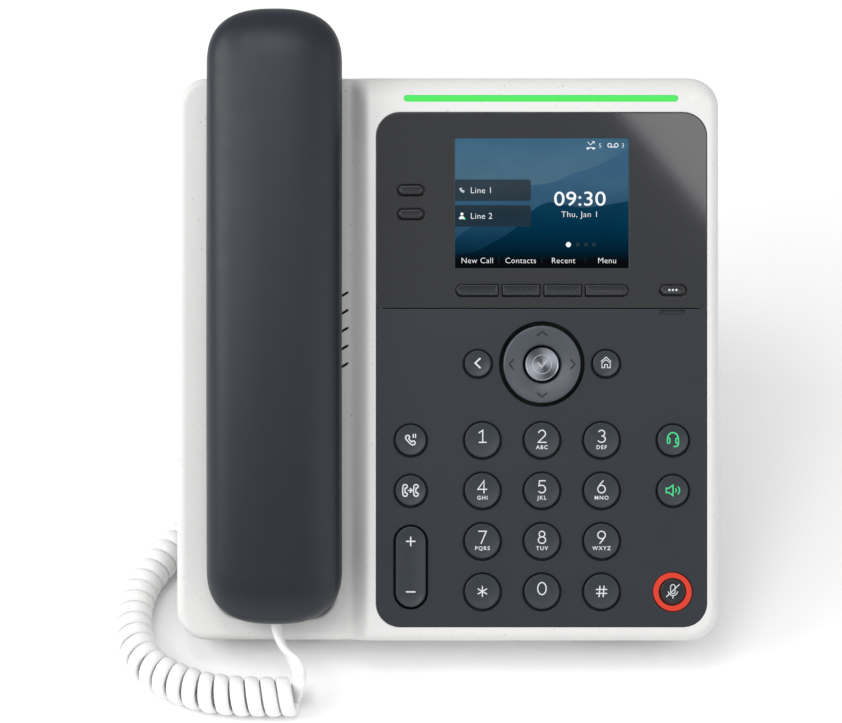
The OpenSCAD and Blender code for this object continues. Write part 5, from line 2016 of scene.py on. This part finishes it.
@dataclass
class Lights:
    """The call light above the display and the lit ring round the mute key."""

    bar: tuple[float, float, float, float] = (31.0, 179.9, 90.6, 2.0)
    bar_low: float = 19.3
    bar_top: float = 26.7
    ring: tuple[float, float, float, float] = (74.6, 16.4, 6.28, 4.72)
    ring_low: float = 24.6
    ring_top: float = 28.1

    def build(self) -> None:
        """Make both lamps."""
        x, y, w, h = self.bar
        form = Form()
        form.block((x - w / 2 - 1, y - h - 0.4, self.bar_low - 2), (x + w / 2 + 1, y + h + 0.4, self.bar_low))
        edge = rounding(0.55, self.bar_top, (0.0, 0.5, 1.0, 1.57))
        form.cap(Outline.pill(x, y, w, h, 10), [(0.0, self.bar_low), *edge])
        stand_in_for(form.piece("call_lamp", Finish.CALL_LIGHT), "base", "call_light", "light_bar")
        x, y, outer, inner = self.ring
        crown = [(outer - inset, w) for inset, w in rounding(0.7, self.ring_top, (0.0, 0.4, 0.8, 1.2, 1.57))]
        lip = [(inner + inset, w) for inset, w in rounding(0.5, self.ring_top, (1.57, 1.0, 0.5, 0.0))]
        lamp = Form()
        profile = [(inner, self.ring_low), (outer, self.ring_low), *crown, *lip]
        Turning(96).add_to(lamp, profile, (x, y, 0.0), Finish.MUTE_LIGHT, True)
        stand_in_for(lamp.piece("mute_lamp", Finish.MUTE_LIGHT), "base", "mute_light", "mute_light_ring")


# ---------------------------------------------------------------- handset


@dataclass
class Handset:
    """The handset: two shells of superelliptic section that meet at a fine seam."""

    x: float = -57.0
    low_y: float = 6.12
    length: float = 202.96
    width: float = 44.6
    top: float = 46.5
    arch: float = 5.5
    part_top: float = 34.0
    part_arch: float = 3.5
    grip_low: float = 29.2
    boss_low: float = 15.8
    boss_y: Point2 = (38.5, 162.5)
    boss_slope: float = 5.0
    end_zone: float = 19.0
    power: float = 2.6
    wall: float = 2.0
    seam: float = 0.1
    around: int = 56
    receiver_y: float = 180.0
    microphone_y: float = 29.0

    def share(self, y: float) -> float:
        """Return 0 in the straight middle and 1 at the tips."""
        middle = self.low_y + self.length / 2
        return max(0.0, (abs(y - middle) - (self.length / 2 - self.end_zone)) / self.end_zone)

    def rounded(self, y: float) -> float:
        """Return how much of the section is left near the tips."""
        return max(0.0, 1 - min(1.0, self.share(y)) ** self.power) ** (1 / self.power)

    def bow(self, y: float) -> float:
        """Return the squared distance from the middle, 1 at the tips."""
        return ((y - self.low_y - self.length / 2) / (self.length / 2)) ** 2

    def part(self, y: float) -> float:
        """Return the seam's level."""
        return self.part_top - self.part_arch * self.bow(y)

    def back(self, y: float) -> float:
        """Return the back's level."""
        return self.part(y) + (self.top - self.arch * self.bow(y) - self.part(y)) * self.rounded(y)

    def front(self, y: float) -> float:
        """Return the level of the side that faces the cradle."""
        mouth = (y - self.boss_y[0]) / self.boss_slope
        ear = (self.boss_y[1] - y) / self.boss_slope
        t = clamp(min(mouth, ear))
        t = t * t * (3 - 2 * t)
        deep = self.part(y) - self.boss_low - (self.grip_low - self.boss_low) * t
        return self.part(y) - deep * self.rounded(y)

    def stations(self) -> list[float]:
        """Return where the rings lie, close together at the tips and at the bosses' walls."""
        low, high = self.low_y, self.low_y + self.length
        steps = [math.radians(90 * k / 16) for k in range(17)]
        tips = [self.end_zone * (1 - math.cos(a)) for a in steps]
        out = [low + max(t, 0.004) for t in tips] + [high - max(t, 0.004) for t in tips]
        out += [low + self.end_zone + (self.length - 2 * self.end_zone) * k / 40 for k in range(1, 40)]
        for edge in (self.boss_y[0], self.boss_y[1] - self.boss_slope):
            out += [edge + self.boss_slope * k / 8 for k in range(-1, 10)]
        out.sort()
        return [y for i, y in enumerate(out) if i == 0 or y - out[i - 1] > 0.02]

    def ring(self, y: float, far: float, inset: float) -> list[Point3]:
        """Return half a ring from the left edge to the right one.

        Args:
            y: Where it lies.
            far: The level of its middle.
            inset: How far inside the outer surface it lies.

        Returns:
            Its points.
        """
        middle = self.low_y + self.length / 2
        at = middle + (y - middle) * (self.length / 2 - inset) / (self.length / 2)
        half = max(0.25, self.width / 2 * self.rounded(y) - inset)
        part = self.part(y)
        deep = max(abs(far - part) - inset, 0.12)
        up = 1 if far >= part else -1
        out = []
        for k in range(self.around + 1):
            a = math.pi * k / self.around
            q, r = -math.cos(a), math.sin(a)
            out.append((self.x + half * math.copysign(abs(q) ** (2 / self.power), q), at,
                        part + up * deep * abs(r) ** (2 / self.power)))
        return out

    def shell(self, name: str, far: Callable[[float], float], shift: float) -> Object:
        """Make one of the two shells.

        Args:
            name: The piece's name.
            far: The level of the shell's middle up the handset.
            shift: Half of the seam's gap.

        Returns:
            The shell, not yet riding on its body.
        """
        form = Form()
        rows = self.stations()
        skins = []
        for inset in (0.0, self.wall):
            rings = [self.ring(y, self.inner(far, y, inset), inset) for y in rows]
            skins.append([[form.add(px, py, pw + shift) for px, py, pw in ring] for ring in rings])
        outer, inner = skins
        form.skin(outer, closed=False)
        form.skin(inner[::-1], closed=False)
        for end in (0, -1):
            form.face(outer[end])
            form.face(inner[end])
            form.face((outer[end][0], outer[end][-1], inner[end][-1], inner[end][0]))
        for side in (0, -1):
            for k in range(len(rows) - 1):
                form.face((outer[k][side], outer[k + 1][side], inner[k + 1][side], inner[k][side]))
        piece = form.piece(name, Finish.HANDSET, smooth_deg=50.0)
        mend_normals(piece.data)
        return piece

    def inner(self, far: Callable[[float], float], y: float, inset: float) -> float:
        """Return the far level for a skin, kept inside the shell near steep walls."""
        if inset == 0.0:
            return far(y)
        near = [far(y - inset), far(y), far(y + inset)]
        return max(near) if far(y) < self.part(y) else min(near)

    def build(self) -> None:
        """Make the shells, the receiver and the microphone."""
        back = self.shell("handset_back", self.back, self.seam / 2)
        stand_in_for(back, "handset", "handset", "handset_back_shell")
        front = self.shell("handset_front", self.front, -self.seam / 2)
        carve(front, self.openings())
        stand_in_for(front, "handset", "handset", "handset_front_shell")
        for name, node, y, wide, deep, low, mid, high in (
                ("ear_capsule", "receiver", self.receiver_y, 10.0, 6.0, 19.4, 22.0, 24.5),
                ("voice_capsule", "handset_microphone", self.microphone_y, 4.8, 3.2, 18.2, 20.4, 21.0)):
            form = Form()
            profile = [(0.0, low), (wide - 0.5, low), (wide, low + 0.5), (wide, mid - 0.4),
                       (wide - 0.4, mid), (deep + 0.3, mid), (deep, mid + 0.3), (deep, high - 0.3),
                       (deep - 0.3, high), (0.0, high)]
            Turning(64).add_to(form, profile, (self.x, y, 0.0), Finish.STEEL)
            stand_in_for(form.piece(name, Finish.STEEL), "handset", "steel", node)

    def openings(self) -> list[Form]:
        """Return the cutters for the earpiece's holes, the microphone's hole and the cord's notch."""
        out = []
        spots = [(3.6 * i, self.receiver_y + 3.6 * j, 0.9)
                 for i, j in ((0, 0), (1, 0), (-1, 0), (0, 1), (0, -1))]
        for x, y, r in [*spots, (0.0, self.microphone_y, 0.8)]:
            form = Form()
            form.cap(Outline.disc(self.x + x, y, r, 6), [(0.0, self.boss_low - 2), (0.0, 22.0)])
            out.append(form)
        notch = Form()
        notch.cap(Outline.rect(self.x, 11.5, 8.6, 23.0, 0.3, 2), [(0.0, 22.2), (0.0, 29.8)])
        out.append(notch)
        return out


def carve(piece: Object, cutters: Iterable[Form]) -> None:
    """Cut closed forms out of a piece and keep the result as its plain mesh.

    Args:
        piece: The piece.
        cutters: The forms to take away.
    """
    tools = [form.piece("cutter") for form in cutters]
    for tool in tools:
        mend_normals(tool.data)
        cut = piece.modifiers.new("cut", "BOOLEAN")
        cut.operation = "DIFFERENCE"
        cut.solver = "EXACT"
        cut.object = tool
    piece.data = baked(piece)
    piece.data.set_sharp_from_angle(angle=math.radians(50.0))
    drop(*tools)


# ---------------------------------------------------------------- back, leg and inside


def softened(node: str, name: str, width: float, finish: Finish, segments: int = 2,
             angle_deg: float = 32.0) -> Object:
    """Copy a CAD node, merge its triangles and round its edges.

    Args:
        node: The CAD node.
        name: The new piece's name.
        width: The rounding's width in millimetres.
        finish: Its finish.
        segments: Faces across each rounding.
        angle_deg: Edges flatter than this stay as they are.

    Returns:
        The new piece, with nothing live on it.
    """
    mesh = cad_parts[node].data.copy()
    mesh.name = name
    with edited(mesh) as work:
        bmesh.ops.remove_doubles(work, verts=work.verts, dist=2e-6)
        bmesh.ops.dissolve_limit(work, angle_limit=math.radians(0.6), verts=work.verts, edges=work.edges)
    holder = linked(name, mesh)
    bevel = holder.modifiers.new("edges", "BEVEL")
    bevel.width = width * MM
    bevel.segments = segments
    bevel.limit_method = "ANGLE"
    bevel.angle_limit = math.radians(angle_deg)
    made = baked(holder)
    drop(holder)
    made.materials.clear()
    made.materials.append(FINISHES[finish])
    made.polygons.foreach_set("material_index", [0] * len(made.polygons))
    return settle(name, made, 30.0)


def joined(name: str, *pieces: Object) -> Object:
    """Join finished pieces into one, which keeps their places and finishes.

    Args:
        name: The new piece's name.
        pieces: The pieces, which are used up.

    Returns:
        The one piece.
    """
    mesh = bpy.data.meshes.new(name)
    work = bmesh.new()
    for piece in pieces:
        base = len(mesh.materials)
        for finish in piece.data.materials:
            mesh.materials.append(finish)
        start = len(work.faces)
        work.from_mesh(piece.data)
        work.faces.ensure_lookup_table()
        for face in list(work.faces)[start:]:
            face.material_index += base
    work.to_mesh(mesh)
    work.free()
    drop(*pieces)
    return settle(name, mesh, 30.0)


@dataclass
class Back:
    """The rear housing with its ribs, the four screws, the feet and the leg on its two pins."""

    rib_count: int = 15
    rib_pitch: float = 4.4
    rib: Point2 = (96.0, 1.3)
    rib_start: float = 18.0

    def build(self) -> None:
        """Make the pieces of the back."""
        shell = softened("rear_housing", "rear_shell", 0.7, Finish.HOUSING, 3)
        ribs, rib = Form(), Form()
        rib.cap(Outline.pill(0.0, 0.0, *self.rib, 4), [(0.35, -0.3), (0.06, -0.2), (0.0, 0.1)])
        Pattern(Layout.ROW, self.rib_count, self.rib_pitch).add_to(
            ribs, rib, (0.0, self.rib_start, 0.0), 0, Finish.HOUSING, (0.0, 1.0, 0.0))
        rear = joined("rear_shell_ribbed", shell, ribs.piece("ribs", Finish.HOUSING))
        stand_in_for(rear, "base", "housing", "rear_housing")
        for node, name, width, skin, segments, body in (
                ("housing_screws", "cross_head_screws", 0.25, Finish.STEEL, 2, "base"),
                ("base_feet", "front_feet", 0.35, Finish.FEET, 3, "base"),
                ("stand_feet", "leg_feet", 0.3, Finish.FEET, 3, "leg"),
                ("stand", "leg_frame", 0.9, Finish.HOUSING, 3, "leg"),
                ("hinge_pins", "leg_pins", 0.4, Finish.STEEL, 3, "base"),
                ("handset_tab", "wall_tab", 0.3, Finish.HOUSING, 2, "base")):
            stand_in_for(softened(node, name, width, skin, segments), body, skin.value, node)


@dataclass
class Sockets:
    """The sockets in the bulge's lower wall and the two clear plugs, with their gold contacts."""

    network_x: Point2 = (-17.0, 3.0)
    cord_x: Point2 = (-66.0, 66.0)
    mouth_y: float = 96.0
    pitch: float = 1.02

    def contacts(self, form: Form, count: int, at: Vector, size: Point3) -> None:
        """Add a row of gold contacts to a form.

        Args:
            form: The form.
            count: How many.
            at: The row's middle.
            size: Size of one contact.
        """
        one = Form()
        half = Vector(size) / 2
        one.block(-half, half, 0.06)
        start = at - Vector(((count - 1) * self.pitch / 2, 0.0, 0.0))
        Pattern(Layout.ROW, count, self.pitch).add_to(form, one, start, 0, Finish.GOLD)

    def build(self) -> None:
        """Make the sockets and the plugs."""
        for node, name, skin, places, count, depth, level in (
                ("network_jacks", "network_sockets", Finish.SHIELD, self.network_x, 8, 6.0, -1.3),
                ("cord_jacks", "cord_sockets", Finish.DARK, self.cord_x, 4, 6.4, 0.25)):
            form = Form()
            for x in places:
                self.contacts(form, count, Vector((x, self.mouth_y + depth, level)), (0.36, 6.0, 0.3))
            pins = form.piece("contacts", Finish.GOLD)
            stand_in_for(joined(name, softened(node, "shell", 0.25, skin), pins), "base", skin.value, node)
        power = softened("power_jack", "power_socket", 0.25, Finish.DARK)
        stand_in_for(power, "base", "dark_parts", "power_jack")
        for node, name, body in (("handset_plug", "handset_clear_plug", "handset"),
                                 ("base_plug", "base_clear_plug", "base")):
            form = Form()
            self.contacts(form, 4, FACE.centre(node) + Vector((0.0, 2.6, 1.5)), (0.4, 3.4, 0.5))
            clear = softened(node, "clear", 0.3, Finish.PLUG)
            plug = joined(name, clear, form.piece("plug_contacts", Finish.GOLD))
            stand_in_for(plug, body, "clear_plug", node)


@dataclass
class Inside:
    """What the housing hides: two circuit boards, the key mat, the loudspeaker and the hook pin."""

    speaker: Point2 = (-57.0, 102.1)
    hook: Point2 = (-57.0, 23.0)

    def chip(self, form: Form, x: float, y: float, size: Point2, low: float, high: float, pins: int) -> None:
        """Add a chip with a row of pins on each long side.

        Args:
            form: The form.
            x: Its centre.
            y: Its centre.
            size: Its width and height.
            low: Its foot's level.
            high: Its top's level.
            pins: Pins in each row.
        """
        w, h = size
        form.block((x - w / 2, y - h / 2, low + 0.1), (x + w / 2, y + h / 2, high), 0.25, 1)
        pin = Form()
        pin.block((-0.2, -0.6, low), (0.2, 0.6, low + 0.35), 0.05)
        for side in (-1, 1):
            Pattern(Layout.ROW, pins, (w - 1.6) / (pins - 1)).add_to(
                form, pin, (x - w / 2 + 0.8, y + side * (h / 2 + 0.5), 0.0), 2, Finish.SHIELD)

    def boards(self) -> None:
        """Make the main board and the keypad board, each with its chips."""
        skins = (Finish.BOARD, Finish.DARK, Finish.SHIELD)
        form = Form()
        posts = [Outline.disc(x, y, 1.6, 6) for x in (-66, 66) for y in (114, 166)]
        form.plate(Outline.rect(0.0, 134.5, 140.0, 71.0, 1.2, 4), 2.6, 4.2, 0.1, posts, 0.1)
        self.chip(form, -2.0, 140.0, (24.0, 22.6), 4.2, 5.8, 18)
        self.chip(form, 36.0, 118.0, (16.0, 10.6), 4.2, 6.6, 10)
        for i in range(8):
            x = -58.0 + 6.0 * i
            form.block((x, 104.0, 4.2), (x + 2.4, 105.4, 5.0), 0.15, 1 if i % 2 else 2)
        stand_in_for(form.piece("main_circuit", *skins), "base", "circuit_board", "main_board")
        keys = Form()
        keys.plate(Outline.rect(30.0, 91.5, 100.0, 159.0, 1.0, 4), 19.4, 21.0, 0.1)
        for x, y in ((-6, 160), (8, 166), (66, 160), (74, 140)):
            self.chip(keys, x, y, (8.0, 4.2), 18.2, 19.4, 5)
        stand_in_for(keys.piece("key_circuit", *skins), "base", "circuit_board", "keypad_board")

    def build(self) -> None:
        """Make the inner pieces."""
        self.boards()
        mat, dome = Form(), Form()
        mat.plate(Outline.rect(30.0, 64.0, 98.0, 111.0, 1.5, 4), 21.2, 22.1, 0.2)
        Turning(24).add_to(dome, [(0.0, 22.0), (4.0, 22.0), (3.7, 22.25), (2.4, 22.4), (0.0, 22.4)],
                           (0.0, 0.0, 0.0), Finish.MAT)
        for row in range(4):
            Pattern(Layout.ROW, 3, 19.7).add_to(mat, dome, (11.6, 16.4 + 16.7 * row, 0.0), 0, Finish.MAT)
        stand_in_for(mat.piece("key_domes", Finish.MAT), "base", "rubber_mat", "key_mat")
        cone = ((0.0, 8.0), (10.6, 8.0), (11.0, 8.4), (11.0, 13.5), (19.0, 16.2), (20.2, 16.4), (20.5, 16.7),
                (20.5, 18.4), (20.2, 18.6), (18.4, 18.6), (17.8, 18.2), (16.6, 18.3), (15.6, 17.6),
                (9.0, 15.1), (5.5, 15.4), (0.0, 16.2))
        pin = ((0.0, 8.0), (4.4, 8.0), (4.6, 8.2), (4.6, 9.8), (4.4, 10.0), (3.1, 10.0), (3.1, 15.0),
               (2.6, 15.5), (0.0, 15.5))
        for name, node, body, place, segments, profile in (
                ("speaker_cone", "loudspeaker", "base", self.speaker, 72, cone),
                ("hook_pin", "hook_plunger", "hook", self.hook, 48, pin)):
            form = Form()
            Turning(segments).add_to(form, profile, (*place, 0.0), Finish.DARK)
            stand_in_for(form.piece(name, Finish.DARK), body, "dark_parts", node)


# ---------------------------------------------------------------- the whole phone


def main() -> None:
    """Build the phone, piece by piece, and report each one."""
    logging.basicConfig(level=logging.INFO, format="%(name)s: %(message)s")
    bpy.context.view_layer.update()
    stage = Stage()
    stage.camera()
    CurlyCord().build()
    stage.floor()
    stage.lights()
    keypad = Keypad()
    for assembly in (FrontHousing(), Panels(keypad), Display(), Lights(), keypad, NavRing(), Handset(),
                     Back(), Sockets(), Inside()):
        assembly.build()


if __name__ == "__main__":
    main()
